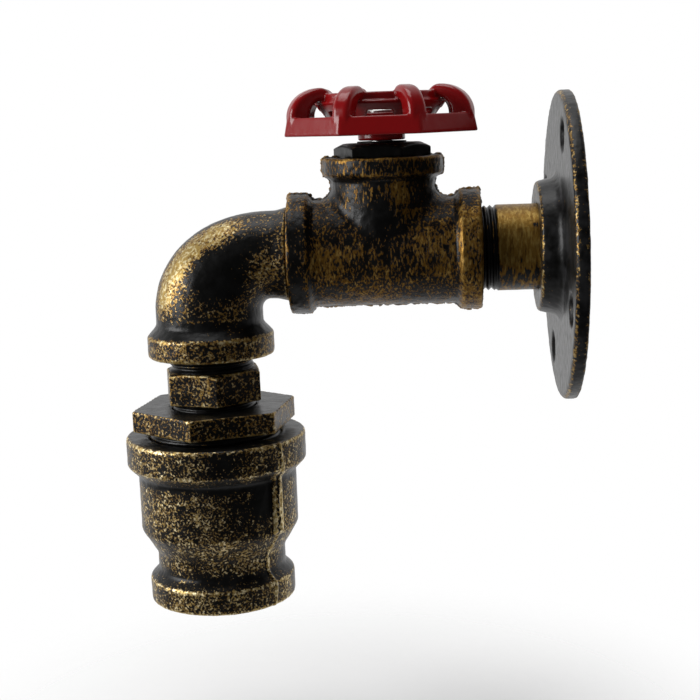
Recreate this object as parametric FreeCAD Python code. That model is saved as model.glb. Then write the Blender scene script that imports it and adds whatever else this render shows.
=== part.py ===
import FreeCAD, Part
import math
import os

# Wall light made of malleable iron pipe fittings, with a turning handwheel.
# Millimetres.  +Z is up, +X points into the wall, the lamp hangs on the -X side.
# The origin is the middle of the flange's back face, where it lies on the wall.

# ---- driving dimensions ------------------------------------------------------

# three-quarter inch steel pipe and the threads cut on it
PIPE_DIAMETER = 26.67
PIPE_WALL = 2.87
THREAD_GAP = 0.05          # radial room left between a male and a female thread
THREAD_ENGAGEMENT = 11.5   # how far a male thread goes into its socket
THREAD_TAPER = 0.4         # how much thinner the end of a male thread is
THREAD_RUN_OUT = 4.6       # length of thread that stays in view beside a socket
SOCKET_RELIEF = 1.2        # free depth past the end of a made-up thread
MOUTH_CHAMFER = 0.8

# one-and-a-quarter inch thread between bushing and reducer
LARGE_THREAD_DIAMETER = 42.16
LARGE_ENGAGEMENT = 16.0

# wall flange
FLANGE_RADIUS = 47.6
FLANGE_THICKNESS = 4.2
FLANGE_EDGE_ROUNDING = 1.5
HUB_RADIUS = 20.0
HUB_FOOT_SPREAD = 1.6
HUB_HEIGHT = 10.8          # from the wall to the hub's outer face
HUB_FILLET = 3.0
SCREW_COUNT = 4
SCREW_CIRCLE_RADIUS = 37.5
SCREW_HOLE_RADIUS = 3.2
SCREW_SINK_RADIUS = 5.6
FIRST_SCREW_ANGLE = 24.0   # from the top, towards the front

# short pipe between flange and tee
NIPPLE_IN_VIEW = 17.2

# tee
TEE_RUN_REACH = 29.75      # centre to either end of the run
TEE_BRANCH_REACH = 29.4    # centre to the top of the branch
TEE_BODY_RADIUS = 16.6
TEE_NECK_RADIUS = 16.0
TEE_BAND_RADIUS = 18.6
TEE_BAND_WIDTH = 6.2
TEE_BRANCH_BAND_WIDTH = 5.2
TEE_BAND_FLANK = 1.7
TEE_BORE_RADIUS = 11.8
TEE_CROTCH_FILLET = 4.0
CROTCH_SHARE = 0.8         # most of the room beside the neck that the fillet may take
CAST_ROUNDING = 0.9

# plug that closes the branch and carries the spindle
BONNET_CIRCUMRADIUS = 15.2
BONNET_HEIGHT = 4.1
BONNET_TOP_RADIUS = 11.9
BONNET_CHAMFER_HEIGHT = 1.5
BONNET_TURN = 24.0         # angle of one corner from the front, towards the wall

# spindle stack
SPINDLE_RADIUS = 4.0
SPINDLE_RUNNING_GAP = 0.06
SPINDLE_SQUARE = 5.6       # across flats of the square end
SQUARE_GAP = 0.05
COLLAR_RADIUS = 6.4
COLLAR_HEIGHT = 1.6
DISC_SPRING_THICKNESS = 0.5
DISC_SPRING_RISE = 0.7
THRUST_WASHER_THICKNESS = 0.5
THRUST_WASHER_RADIUS = 7.6
MOVING_GAP = 0.3           # kept between what turns and what stands still
WASHER_THICKNESS = 0.8
WASHER_RADIUS = 5.2
SCREW_SHANK_RADIUS = 2.0
SCREW_SHANK_GAP = 0.05
SCREW_LENGTH = 8.0
SCREW_HEAD_RADIUS = 3.9
SCREW_HEAD_HEIGHT = 2.4
SCREW_SLOT_WIDTH = 1.0
SCREW_SLOT_DEPTH = 1.2

# handwheel
RIB_COUNT = 8
SKIRT_CIRCUMRADIUS = 31.5
SKIRT_HEIGHT = 5.5
SKIRT_DRAFT = 1.2          # how much smaller the skirt is at its top
SKIRT_WALL = 3.0
BOSS_RADIUS = 7.3
BOSS_HEIGHT = 8.4
SKIRT_ABOVE_BOSS = 2.0     # skirt's lower edge above the boss's lower end
WHEEL_HEIGHT = 14.3        # skirt's lower edge to the top of the ribs
RIB_WIDTH = 5.6
RIB_CREST_RADIUS = 19.8
RIB_BASE_DEPTH = 6.3       # thickness of a rib, inwards, beside the skirt's top
RIB_CREST_DEPTH = 4.0      # thickness of a rib, downwards, under its crest
RIB_BACK_ROUNDING = 1.6
RIB_EDGE_ROUNDING = 0.8
RIB_SETBACK = 0.25         # how far a rib's ends lie inside the skirt and the ring
RIB_LEG_CLEARANCE = 0.8    # a rib's leg stops above the skirt's lower edge
RING_INNER_RADIUS = 15.9
RING_WALL_RADIUS = 19.2
RING_DROP = 1.8            # ring's top below the rib crests
RING_HEIGHT = 2.5
LIP_RADIUS = 20.6          # edge of the dish under the ring
DISH_FLOOR_RADIUS = 15.6
DISH_FLOOR_DROP = 9.6      # underside of the dish below the ring's top
DISH_FLOOR_THICKNESS = 2.0
DISH_INNER_STEP = 2.2
DISH_SLOT_WIDTH = 7.6
DISH_SLOT_HEIGHT = 2.4
DISH_SLOT_LIFT = 1.9       # slot's lower edge above the underside of the dish

# street elbow
ELBOW_REACH = 26.3         # tee face to the axis of the drop
ELBOW_BEND_HEIGHT = 17.0   # run axis down to the centre of the bend
ELBOW_BEND_OFFSET = 19.8   # drop axis back to the centre of the bend
ELBOW_ROOT_RADIUS = 13.7
ELBOW_BELL_RADIUS = 16.9
ELBOW_SHOULDER_RADIUS = 14.7
ELBOW_SHOULDER_LENGTH = 4.2
ELBOW_DROP = 31.1          # run axis down to the lower face
ELBOW_BAND_RADIUS = 20.0
ELBOW_BAND_HEIGHT = 6.6
ELBOW_BAND_FLANK = 3.4
ELBOW_BORE_RADIUS = 9.9
ELBOW_STATIONS = 7

# hexagon nipple and bushing
NIPPLE_HEX_CIRCUMRADIUS = 16.44
NIPPLE_HEX_HEIGHT = 10.1
NIPPLE_HEX_TURN = 12.0
NIPPLE_UPPER_NECK = 4.3
NIPPLE_LOWER_NECK = 1.7
BUSHING_CIRCUMRADIUS = 26.57
BUSHING_HEX_HEIGHT = 6.7
BUSHING_TURN = -8.8
BUSHING_NECK = 2.4
BUSHING_CORE_RADIUS = 16.6
BUSHING_BORE_RADIUS = 11.4
BUSHING_WEB = 2.0          # metal left between the socket and the cored underside
HEX_CHAMFER = 1.0

# bell reducer
REDUCER_RIM_RADIUS = 28.6
REDUCER_RIM_HEIGHT = 8.8
REDUCER_RIM_FLANK = 3.4
REDUCER_BODY_RADIUS = 25.2
REDUCER_BODY_DEPTH = 30.0  # top face to the start of the cone
REDUCER_CONE_HEIGHT = 7.6
REDUCER_NECK_RADIUS = 20.5
REDUCER_NECK_HEIGHT = 6.0
REDUCER_MOUTH_RIM_RADIUS = 23.3
REDUCER_MOUTH_RIM_HEIGHT = 7.5
REDUCER_MOUTH_FLANK = 2.7
REDUCER_MOUTH_BORE = 16.7
REDUCER_LEDGE_DEPTH = 27.6 # top face to the ledge that the lampholder sits on
REDUCER_LEDGE_TAPER = 3.0
RIB_PAIR = 2
GRIP_RIB_ANGLE = 52.5      # from the front, towards the wall
GRIP_RIB_WIDTH = 4.2
GRIP_RIB_PROUD = 1.3

# lampholder inside the reducer
SEAT_GAP = 0.05            # between the porcelain and the ledge
HOLDER_HEAD_RADIUS = 20.6
HOLDER_SLEEVE_RADIUS = 15.9
HOLDER_MOUTH_RECESS = 3.0  # porcelain rim above the reducer's mouth
SHELL_INNER_RADIUS = 13.2
SHELL_WALL = 0.5
SHELL_GAP = 0.05
SHELL_DEPTH = 24.0
SHELL_LIP = 1.0            # porcelain edge below the shell
SHELL_TOP_ROUNDING = 2.0   # outside, where the shell's top turns in
SHELL_FLANGE_RADIUS = 9.0  # opening left in the shell's turned-in top
CLAMP_RING_THICKNESS = 1.5
CLAMP_RING_INNER_RADIUS = 15.2
TERMINAL_OFFSET = 11.0     # lamp axis to the middle of each terminal block
TERMINAL_LENGTH = 8.0
TERMINAL_WIDTH = 5.6
TERMINAL_HEIGHT = 3.6
TERMINAL_WELL_DEPTH = 5.0
TERMINAL_WELL_ROOM = 0.2
TERMINAL_HOLE_OFFSET = 2.1 # middle of a block to its lead hole and to its screw
TERMINAL_HOLE_DEPTH = 2.8
TERMINAL_SCREW_RADIUS = 1.25
TERMINAL_SCREW_LENGTH = 2.6
TERMINAL_SCREW_HEAD_RADIUS = 1.9
SMALL_HEAD_HEIGHT = 1.3
SMALL_SLOT_WIDTH = 0.6
SMALL_SLOT_DEPTH = 0.6
SMALL_HOLE_GAP = 0.05
CONTACT_WIDTH = 5.0
CONTACT_THICKNESS = 0.5
CONTACT_LENGTH = 6.0
CONTACT_TIP_LENGTH = 2.0
CONTACT_SPRING_DROP = 1.5

# earth connection and leads
EARTH_LUG_WIDTH = 7.0
EARTH_LUG_REACH = 7.4      # lamp axis to the free end of the lug
EARTH_SCREW_OFFSET = 11.2
EARTH_SCREW_RADIUS = 1.5
EARTH_SCREW_LENGTH = 4.0
EARTH_SCREW_HEAD_RADIUS = 2.5
EARTH_RECESS_RADIUS = 2.2
EARTH_RECESS_DEPTH = 3.2
TAG_THICKNESS = 0.8
TAG_RADIUS = 2.9
TAG_BARREL_SETBACK = 5.0   # earth screw to the barrel, towards the lamp axis
TAG_BARREL_RADIUS = 1.8
TAG_BARREL_HEIGHT = 4.0
LEAD_RADIUS = 1.1
LEAD_OFFSET = 4.0          # pipe axis to each lead
LEAD_BEND_RADIUS = 18.0
LEAD_TAIL_BEND_RADIUS = 4.0
LEAD_TAIL_LENGTH = 6.2     # upright stretch above the clamp ring
LEAD_SPREAD_LENGTH = 6.0   # height over which the leads spread to their terminals
LEAD_BACK_SETBACK = 1.5    # end of the leads inside the flange's mouth

# ---- values that follow ------------------------------------------------------

THREAD_RADIUS = PIPE_DIAMETER / 2
SOCKET_RADIUS = THREAD_RADIUS + THREAD_GAP
SOCKET_DEPTH = THREAD_ENGAGEMENT + SOCKET_RELIEF
PIPE_BORE_RADIUS = THREAD_RADIUS - PIPE_WALL
LARGE_THREAD_RADIUS = LARGE_THREAD_DIAMETER / 2
CHAMBER_RADIUS = LARGE_THREAD_RADIUS + THREAD_GAP

TEE_WALL_FACE = -(HUB_HEIGHT + NIPPLE_IN_VIEW)
TEE_X = TEE_WALL_FACE - TEE_RUN_REACH
TEE_LAMP_FACE = TEE_X - TEE_RUN_REACH
DROP_X = TEE_LAMP_FACE - ELBOW_REACH

BONNET_TOP = TEE_BRANCH_REACH + BONNET_HEIGHT
BONNET_FOOT = TEE_BRANCH_REACH - THREAD_ENGAGEMENT
SPINDLE_BORE_RADIUS = SPINDLE_RADIUS + SPINDLE_RUNNING_GAP
COLLAR_TOP = BONNET_FOOT - DISC_SPRING_RISE - MOVING_GAP
BOSS_FOOT = BONNET_TOP + THRUST_WASHER_THICKNESS + MOVING_GAP
BOSS_TOP = BOSS_FOOT + BOSS_HEIGHT
SPINDLE_TOP = BOSS_TOP - MOVING_GAP

SKIRT_FOOT = BOSS_FOOT + SKIRT_ABOVE_BOSS
SKIRT_TOP = SKIRT_FOOT + SKIRT_HEIGHT
RIB_TOP = SKIRT_FOOT + WHEEL_HEIGHT
RING_TOP = RIB_TOP - RING_DROP
DISH_FLOOR = RING_TOP - DISH_FLOOR_DROP

ELBOW_FACE = -ELBOW_DROP
NIPPLE_HEX_TOP = ELBOW_FACE - NIPPLE_UPPER_NECK
NIPPLE_HEX_FOOT = NIPPLE_HEX_TOP - NIPPLE_HEX_HEIGHT
BUSHING_TOP = NIPPLE_HEX_FOOT - NIPPLE_LOWER_NECK
BUSHING_HEX_FOOT = BUSHING_TOP - BUSHING_HEX_HEIGHT
REDUCER_TOP = BUSHING_HEX_FOOT - BUSHING_NECK
BUSHING_FOOT = REDUCER_TOP - LARGE_ENGAGEMENT
REDUCER_LEDGE = REDUCER_TOP - REDUCER_LEDGE_DEPTH
REDUCER_CONE_TOP = REDUCER_TOP - REDUCER_BODY_DEPTH
REDUCER_CONE_FOOT = REDUCER_CONE_TOP - REDUCER_CONE_HEIGHT
REDUCER_MOUTH_RIM_TOP = REDUCER_CONE_FOOT - REDUCER_NECK_HEIGHT - REDUCER_MOUTH_FLANK
REDUCER_MOUTH = REDUCER_MOUTH_RIM_TOP - REDUCER_MOUTH_RIM_HEIGHT

CLAMP_RING_TOP = BUSHING_FOOT
HOLDER_TOP = CLAMP_RING_TOP - CLAMP_RING_THICKNESS
HOLDER_FOOT = REDUCER_MOUTH + HOLDER_MOUTH_RECESS
SHELL_OUTER_RADIUS = SHELL_INNER_RADIUS + SHELL_WALL
SHELL_FOOT = HOLDER_FOOT + SHELL_LIP
SHELL_TOP = SHELL_FOOT + SHELL_DEPTH
WELL_FLOOR = HOLDER_TOP - TERMINAL_WELL_DEPTH


# ---- helpers -----------------------------------------------------------------

def vec(x, y, z):
    return FreeCAD.Vector(x, y, z)


UP = vec(0, 0, 1)
DOWN = vec(0, 0, -1)


def rounded_outline(corners):
    """Wire in the XZ plane through corners given as (radius, height, rounding)."""
    points = [vec(radius, 0, height) for radius, height, rounding in corners]
    stretches = []
    for index, corner in enumerate(corners):
        here = points[index]
        rounding = corner[2]
        if rounding == 0:
            stretches.append((here, None, here))
            continue
        to_last = (points[index - 1] - here).normalize()
        to_next = (points[(index + 1) % len(points)] - here).normalize()
        half_angle = to_last.getAngle(to_next) / 2
        reach = rounding / math.tan(half_angle)
        depth = rounding / math.sin(half_angle) - rounding
        middle = here + (to_last + to_next).normalize() * depth
        stretches.append((here + to_last * reach, middle, here + to_next * reach))
    edges = []
    for index, (start, middle, end) in enumerate(stretches):
        if middle is not None:
            edges.append(Part.Arc(start, middle, end).toShape())
        next_start = stretches[(index + 1) % len(stretches)][0]
        if end.distanceToPoint(next_start) > 1e-6:
            edges.append(Part.makeLine(end, next_start))
    return Part.Wire(edges)


def turned(corners):
    """Solid turned about the Z axis from a rounded outline."""
    return Part.Face(rounded_outline(corners)).revolve(vec(0, 0, 0), UP, 360)


def cylinder(radius, low, high, x=0.0, y=0.0):
    return Part.makeCylinder(radius, high - low, vec(x, y, low), UP)


def ring(inner, outer, low, high):
    return turned([(inner, low, 0), (outer, low, 0), (outer, high, 0), (inner, high, 0)])


def box(width, depth, low, high, x=0.0, y=0.0):
    """Upright box of the given width along X and depth along Y, centred on x, y."""
    return Part.makeBox(width, depth, high - low, vec(x - width / 2, y - depth / 2, low))


def spun(shape, angle, x=0.0):
    """Copy turned about the vertical line at x; a positive angle goes from -Y to +X."""
    copy = shape.copy()
    copy.rotate(vec(x, 0, 0), UP, angle)
    return copy


def moved(shape, x=0.0, y=0.0, z=0.0):
    copy = shape.copy()
    copy.translate(vec(x, y, z))
    return copy


def along_run(shape, x=0.0):
    """Turn a shape made on the Z axis so that its +Z points away from the wall."""
    copy = shape.copy()
    copy.rotate(vec(0, 0, 0), vec(0, 1, 0), -90)
    copy.translate(vec(x, 0, 0))
    return copy


def hexagon(circumradius, low, high, turn):
    """Hexagonal prism on the Z axis with one corner turned from the front by turn."""
    corners = []
    for index in range(6):
        angle = math.radians(turn + 60 * index)
        corners.append(vec(circumradius * math.sin(angle), -circumradius * math.cos(angle), low))
    corners.append(corners[0])
    face = Part.Face(Part.makePolygon(corners))
    return face.extrude(vec(0, 0, high - low))


def chamfered_hexagon(circumradius, low, high, turn, top_radius, drop):
    """Hexagonal prism whose upper corners are cut back by drop to a circle."""
    height = high - low
    spread = (circumradius - top_radius) / drop * height
    cone = Part.makeCone(top_radius + spread, top_radius, height, vec(0, 0, low), UP)
    return hexagon(circumradius, low, high, turn).common(cone)


def male_thread(low, high, end_is_low):
    """Tapered thread blank of the pipe size between two heights."""
    low_radius = THREAD_RADIUS - (THREAD_TAPER if end_is_low else 0)
    high_radius = THREAD_RADIUS - (0 if end_is_low else THREAD_TAPER)
    return Part.makeCone(low_radius, high_radius, high - low, vec(0, 0, low), UP)


def socket(depth, mouth, into):
    """Cutter for a threaded socket with a chamfered mouth; into is +1 up or -1 down."""
    far = mouth + into * depth
    near = mouth - into
    lip = SOCKET_RADIUS + MOUTH_CHAMFER
    return turned([
        (0, near, 0), (lip, near, 0), (lip, mouth, 0),
        (SOCKET_RADIUS, mouth + into * MOUTH_CHAMFER, 0),
        (SOCKET_RADIUS, far, 0), (0, far, 0)])


def chamfered_end_ring(inner, outer, low, high, chamfer):
    """Tube end to end with its outer edges chamfered."""
    return turned([
        (inner, low, 0), (outer - chamfer, low, 0), (outer, low + chamfer, 0),
        (outer, high - chamfer, 0), (outer - chamfer, high, 0), (inner, high, 0)])


def rounded_path(points, radii):
    """Open wire through points, with a tangent arc of its own radius at each inner point."""
    edges = []
    start = points[0]
    for here, after, radius in zip(points[1:-1], points[2:], radii):
        to_last = (start - here).normalize()
        to_next = (after - here).normalize()
        half_angle = to_last.getAngle(to_next) / 2
        reach = radius / math.tan(half_angle)
        depth = radius / math.sin(half_angle) - radius
        arc_start = here + to_last * reach
        arc_middle = here + (to_last + to_next).normalize() * depth
        arc_end = here + to_next * reach
        edges.append(Part.makeLine(start, arc_start))
        edges.append(Part.Arc(arc_start, arc_middle, arc_end).toShape())
        start = arc_end
    edges.append(Part.makeLine(start, points[-1]))
    return Part.Wire(edges)


def round_wire(points, radii, radius):
    """Round wire of the given radius along a rounded path."""
    path = rounded_path(points, radii)
    direction = points[1] - points[0]
    section = Part.Wire(Part.makeCircle(radius, points[0], direction))
    return path.makePipeShell([section], True, False)


def edges_where(shape, test):
    return [edge for edge in shape.Edges if test(edge)]


# ---- fixed fittings ----------------------------------------------------------

def wall_flange():
    """Round plate with a threaded hub and countersunk screw holes."""
    body = turned([
        (SOCKET_RADIUS, 0, 0),
        (FLANGE_RADIUS, 0, FLANGE_EDGE_ROUNDING / 3),
        (FLANGE_RADIUS, FLANGE_THICKNESS, FLANGE_EDGE_ROUNDING),
        (HUB_RADIUS + HUB_FOOT_SPREAD, FLANGE_THICKNESS, HUB_FILLET),
        (HUB_RADIUS, HUB_HEIGHT, CAST_ROUNDING),
        (SOCKET_RADIUS + MOUTH_CHAMFER, HUB_HEIGHT, 0),
        (SOCKET_RADIUS, HUB_HEIGHT - MOUTH_CHAMFER, 0)])
    sink_depth = SCREW_SINK_RADIUS - SCREW_HOLE_RADIUS
    hole = turned([
        (0, -1, 0), (SCREW_HOLE_RADIUS, -1, 0),
        (SCREW_HOLE_RADIUS, FLANGE_THICKNESS - sink_depth, 0),
        (SCREW_SINK_RADIUS, FLANGE_THICKNESS, 0),
        (SCREW_SINK_RADIUS, FLANGE_THICKNESS + 1, 0), (0, FLANGE_THICKNESS + 1, 0)])
    for index in range(SCREW_COUNT):
        angle = FIRST_SCREW_ANGLE + 360 / SCREW_COUNT * index
        body = body.cut(spun(moved(hole, x=SCREW_CIRCLE_RADIUS), -angle))
    return along_run(body)


def wall_nipple():
    """Short pipe, threaded at both ends, from the flange's mouth into the tee."""
    low = HUB_HEIGHT - THREAD_ENGAGEMENT * 0.8
    high = HUB_HEIGHT + NIPPLE_IN_VIEW + THREAD_ENGAGEMENT
    run_out = HUB_HEIGHT + NIPPLE_IN_VIEW - THREAD_RUN_OUT
    blank = male_thread(low, HUB_HEIGHT, True)
    blank = blank.fuse(cylinder(THREAD_RADIUS, HUB_HEIGHT, run_out))
    blank = blank.fuse(male_thread(run_out, high, False))
    return along_run(blank.cut(cylinder(PIPE_BORE_RADIUS, low - 1, high + 1)).removeSplitter())


def tee():
    """Cast tee: two banded run ends, a banded branch and filleted crotches."""
    band_inside = TEE_RUN_REACH - TEE_BAND_WIDTH
    body_end = band_inside - TEE_BAND_FLANK
    run = turned([
        (0, -TEE_RUN_REACH, 0),
        (TEE_BAND_RADIUS, -TEE_RUN_REACH, CAST_ROUNDING),
        (TEE_BAND_RADIUS, -band_inside, CAST_ROUNDING),
        (TEE_BODY_RADIUS, -body_end, CAST_ROUNDING),
        (TEE_BODY_RADIUS, body_end, CAST_ROUNDING),
        (TEE_BAND_RADIUS, band_inside, CAST_ROUNDING),
        (TEE_BAND_RADIUS, TEE_RUN_REACH, CAST_ROUNDING),
        (0, TEE_RUN_REACH, 0)])
    neck = cylinder(TEE_NECK_RADIUS, 0, TEE_BRANCH_REACH - TEE_BRANCH_BAND_WIDTH)
    body = along_run(run).fuse(neck).removeSplitter()

    def in_crotch(edge):
        bounds = edge.BoundBox
        return (bounds.ZMin > 0 and bounds.ZMax < TEE_BODY_RADIUS + 0.1
                and max(abs(bounds.XMin), abs(bounds.XMax)) < TEE_NECK_RADIUS + 0.1
                and bounds.YLength > TEE_NECK_RADIUS / 2)
    crotch_room = (body_end - TEE_NECK_RADIUS) * CROTCH_SHARE
    fillet = min(TEE_CROTCH_FILLET, crotch_room)
    body = body.makeFillet(fillet, edges_where(body, in_crotch))
    band_foot = TEE_BRANCH_REACH - TEE_BRANCH_BAND_WIDTH
    branch_band = turned([
        (0, band_foot - TEE_BAND_FLANK - 1, 0),
        (TEE_NECK_RADIUS, band_foot - TEE_BAND_FLANK - 1, 0),
        (TEE_NECK_RADIUS, band_foot - TEE_BAND_FLANK, CAST_ROUNDING),
        (TEE_BAND_RADIUS, band_foot, CAST_ROUNDING),
        (TEE_BAND_RADIUS, TEE_BRANCH_REACH, CAST_ROUNDING),
        (0, TEE_BRANCH_REACH, 0)])
    body = body.fuse(branch_band)
    passage = along_run(cylinder(TEE_BORE_RADIUS, -TEE_RUN_REACH, TEE_RUN_REACH))
    passage = passage.fuse(cylinder(TEE_BORE_RADIUS, 0, TEE_BRANCH_REACH))
    body = body.cut(passage)
    body = body.cut(along_run(socket(SOCKET_DEPTH, TEE_RUN_REACH, -1)))
    body = body.cut(along_run(socket(SOCKET_DEPTH, -TEE_RUN_REACH, 1)))
    body = body.cut(socket(SOCKET_DEPTH, TEE_BRANCH_REACH, -1))
    return moved(body.removeSplitter(), x=TEE_X)


def elbow_section(share, radius):
    """Circle across the bend: share 0 on the tee's axis, share 1 on the drop."""
    angle = math.radians(90 * share)
    blend = (1 - math.cos(math.pi * share)) / 2
    distance = ELBOW_BEND_HEIGHT + (ELBOW_BEND_OFFSET - ELBOW_BEND_HEIGHT) * blend
    outwards = vec(-math.sin(angle), 0, math.cos(angle))
    centre = vec(DROP_X + ELBOW_BEND_OFFSET, 0, -ELBOW_BEND_HEIGHT) + outwards * distance
    along = vec(-math.cos(angle), 0, -math.sin(angle))
    return Part.Wire(Part.makeCircle(radius(blend), centre, along))


def bend(root_radius, bell_radius):
    """Quarter bend that grows from the root's radius to the bell's."""
    def radius(blend):
        return root_radius + (bell_radius - root_radius) * blend
    shares = [index / (ELBOW_STATIONS - 1) for index in range(ELBOW_STATIONS)]
    return Part.makeLoft([elbow_section(share, radius) for share in shares], True, False)


def street_elbow():
    """Elbow with a male end in the tee and a banded bell over the drop."""
    bend_x = DROP_X + ELBOW_BEND_OFFSET
    face_x = TEE_LAMP_FACE - MOVING_GAP
    shank = Part.makeCone(THREAD_RADIUS, THREAD_RADIUS - THREAD_TAPER, THREAD_ENGAGEMENT,
                          vec(face_x, 0, 0), vec(1, 0, 0))
    shoulder = along_run(turned([
        (0, -face_x, 0),
        (ELBOW_SHOULDER_RADIUS, -face_x, 0.4),
        (ELBOW_ROOT_RADIUS, -face_x + ELBOW_SHOULDER_LENGTH, 3.0),
        (ELBOW_ROOT_RADIUS, -bend_x, 0),
        (0, -bend_x, 0)]))
    band_top = ELBOW_FACE + ELBOW_BAND_HEIGHT
    bell = turned([
        (0, -ELBOW_BEND_HEIGHT, 0),
        (ELBOW_BELL_RADIUS, -ELBOW_BEND_HEIGHT, 0),
        (ELBOW_BELL_RADIUS, band_top + ELBOW_BAND_FLANK, 2.0),
        (ELBOW_BAND_RADIUS, band_top, CAST_ROUNDING),
        (ELBOW_BAND_RADIUS, ELBOW_FACE, CAST_ROUNDING),
        (0, ELBOW_FACE, 0)])
    body = shoulder.fuse([shank, bend(ELBOW_ROOT_RADIUS, ELBOW_BELL_RADIUS), moved(bell, x=DROP_X)])
    shank_bore = Part.makeCylinder(ELBOW_BORE_RADIUS, face_x + THREAD_ENGAGEMENT + 1 - bend_x,
                                   vec(bend_x, 0, 0), vec(1, 0, 0))
    bell_bore = cylinder(TEE_BORE_RADIUS, ELBOW_FACE, -ELBOW_BEND_HEIGHT)
    bell_socket = socket(SOCKET_DEPTH, ELBOW_FACE, 1)
    body = body.cut(bend(ELBOW_BORE_RADIUS, TEE_BORE_RADIUS))
    body = body.cut(shank_bore)
    body = body.cut(moved(bell_bore, x=DROP_X))
    body = body.cut(moved(bell_socket, x=DROP_X))
    return body


def hex_nipple():
    """Double-ended male nipple with a hexagon between its threads."""
    top = ELBOW_FACE + THREAD_ENGAGEMENT
    foot = BUSHING_TOP - THREAD_ENGAGEMENT
    blank = chamfered_hexagon(
        NIPPLE_HEX_CIRCUMRADIUS, NIPPLE_HEX_FOOT, NIPPLE_HEX_TOP, NIPPLE_HEX_TURN,
        NIPPLE_HEX_CIRCUMRADIUS - 2 * HEX_CHAMFER, HEX_CHAMFER)
    blank = blank.fuse(male_thread(NIPPLE_HEX_TOP, top, False))
    blank = blank.fuse(male_thread(foot, NIPPLE_HEX_FOOT, True))
    blank = blank.cut(cylinder(ELBOW_BORE_RADIUS, foot - 1, top + 1))
    return moved(blank.removeSplitter(), x=DROP_X)


def hex_bushing():
    """Bushing with a wide hexagon head, a female top and a cored underside."""
    head = chamfered_hexagon(
        BUSHING_CIRCUMRADIUS, BUSHING_HEX_FOOT, BUSHING_TOP, BUSHING_TURN,
        BUSHING_CIRCUMRADIUS - HEX_CHAMFER / 2, HEX_CHAMFER / 4)
    shank = Part.makeCone(
        LARGE_THREAD_RADIUS - THREAD_TAPER, LARGE_THREAD_RADIUS,
        BUSHING_HEX_FOOT - BUSHING_FOOT, vec(0, 0, BUSHING_FOOT), UP)
    core_top = BUSHING_TOP - SOCKET_DEPTH - BUSHING_WEB
    body = head.fuse(shank)
    body = body.cut(socket(SOCKET_DEPTH, BUSHING_TOP, -1))
    body = body.cut(cylinder(BUSHING_BORE_RADIUS, BUSHING_FOOT, BUSHING_TOP))
    body = body.cut(cylinder(BUSHING_CORE_RADIUS, BUSHING_FOOT - 1, core_top))
    return moved(body.removeSplitter(), x=DROP_X)


def grip_rib():
    """Upright casting rib, from the reducer's rim down to its cone."""
    inside = REDUCER_BODY_RADIUS - 2
    outside = REDUCER_BODY_RADIUS + GRIP_RIB_PROUD
    top = REDUCER_TOP - REDUCER_RIM_HEIGHT
    foot = REDUCER_CONE_TOP
    corners = [
        vec(inside, 0, top), vec(outside, 0, top), vec(outside, 0, foot + GRIP_RIB_PROUD),
        vec(REDUCER_BODY_RADIUS - GRIP_RIB_PROUD, 0, foot - GRIP_RIB_PROUD),
        vec(inside, 0, foot - GRIP_RIB_PROUD), vec(inside, 0, top)]
    blade = Part.Face(Part.makePolygon(corners)).extrude(vec(0, GRIP_RIB_WIDTH, 0))
    blade = moved(blade, y=-GRIP_RIB_WIDTH / 2)
    outer_edges = edges_where(blade, lambda edge: edge.BoundBox.XMin > outside - 0.01
                              and edge.BoundBox.YLength < 0.01)
    return blade.makeFillet(CAST_ROUNDING / 2, outer_edges)


def reducer():
    """Bell reducer: wide banded top, cone, and a small banded mouth that shows the lamp."""
    rim_foot = REDUCER_TOP - REDUCER_RIM_HEIGHT
    neck_foot = REDUCER_CONE_FOOT - REDUCER_NECK_HEIGHT
    body = turned([
        (0, REDUCER_TOP, 0),
        (REDUCER_RIM_RADIUS, REDUCER_TOP, CAST_ROUNDING),
        (REDUCER_RIM_RADIUS, rim_foot, CAST_ROUNDING),
        (REDUCER_BODY_RADIUS, rim_foot - REDUCER_RIM_FLANK, 1.5),
        (REDUCER_BODY_RADIUS, REDUCER_CONE_TOP, 3.5),
        (REDUCER_NECK_RADIUS, REDUCER_CONE_FOOT, 4.0),
        (REDUCER_NECK_RADIUS, neck_foot, 1.5),
        (REDUCER_MOUTH_RIM_RADIUS, REDUCER_MOUTH_RIM_TOP, CAST_ROUNDING),
        (REDUCER_MOUTH_RIM_RADIUS, REDUCER_MOUTH, CAST_ROUNDING),
        (0, REDUCER_MOUTH, 0)])
    for index in range(RIB_PAIR):
        facing_front = GRIP_RIB_ANGLE - 90
        body = body.fuse(spun(grip_rib(), facing_front + 360 / RIB_PAIR * index))
    chamber_foot = REDUCER_LEDGE
    hollow = turned([
        (0, REDUCER_TOP + 1, 0),
        (CHAMBER_RADIUS + MOUTH_CHAMFER, REDUCER_TOP + 1, 0),
        (CHAMBER_RADIUS + MOUTH_CHAMFER, REDUCER_TOP, 0),
        (CHAMBER_RADIUS, REDUCER_TOP - MOUTH_CHAMFER, 0),
        (CHAMBER_RADIUS, chamber_foot, 0),
        (REDUCER_MOUTH_BORE, chamber_foot - REDUCER_LEDGE_TAPER, 0),
        (REDUCER_MOUTH_BORE, REDUCER_MOUTH + MOUTH_CHAMFER, 0),
        (REDUCER_MOUTH_BORE + MOUTH_CHAMFER, REDUCER_MOUTH, 0),
        (REDUCER_MOUTH_BORE + MOUTH_CHAMFER, REDUCER_MOUTH - 1, 0),
        (0, REDUCER_MOUTH - 1, 0)])
    return moved(body.cut(hollow).removeSplitter(), x=DROP_X)


# ---- bonnet and spindle ------------------------------------------------------

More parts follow.
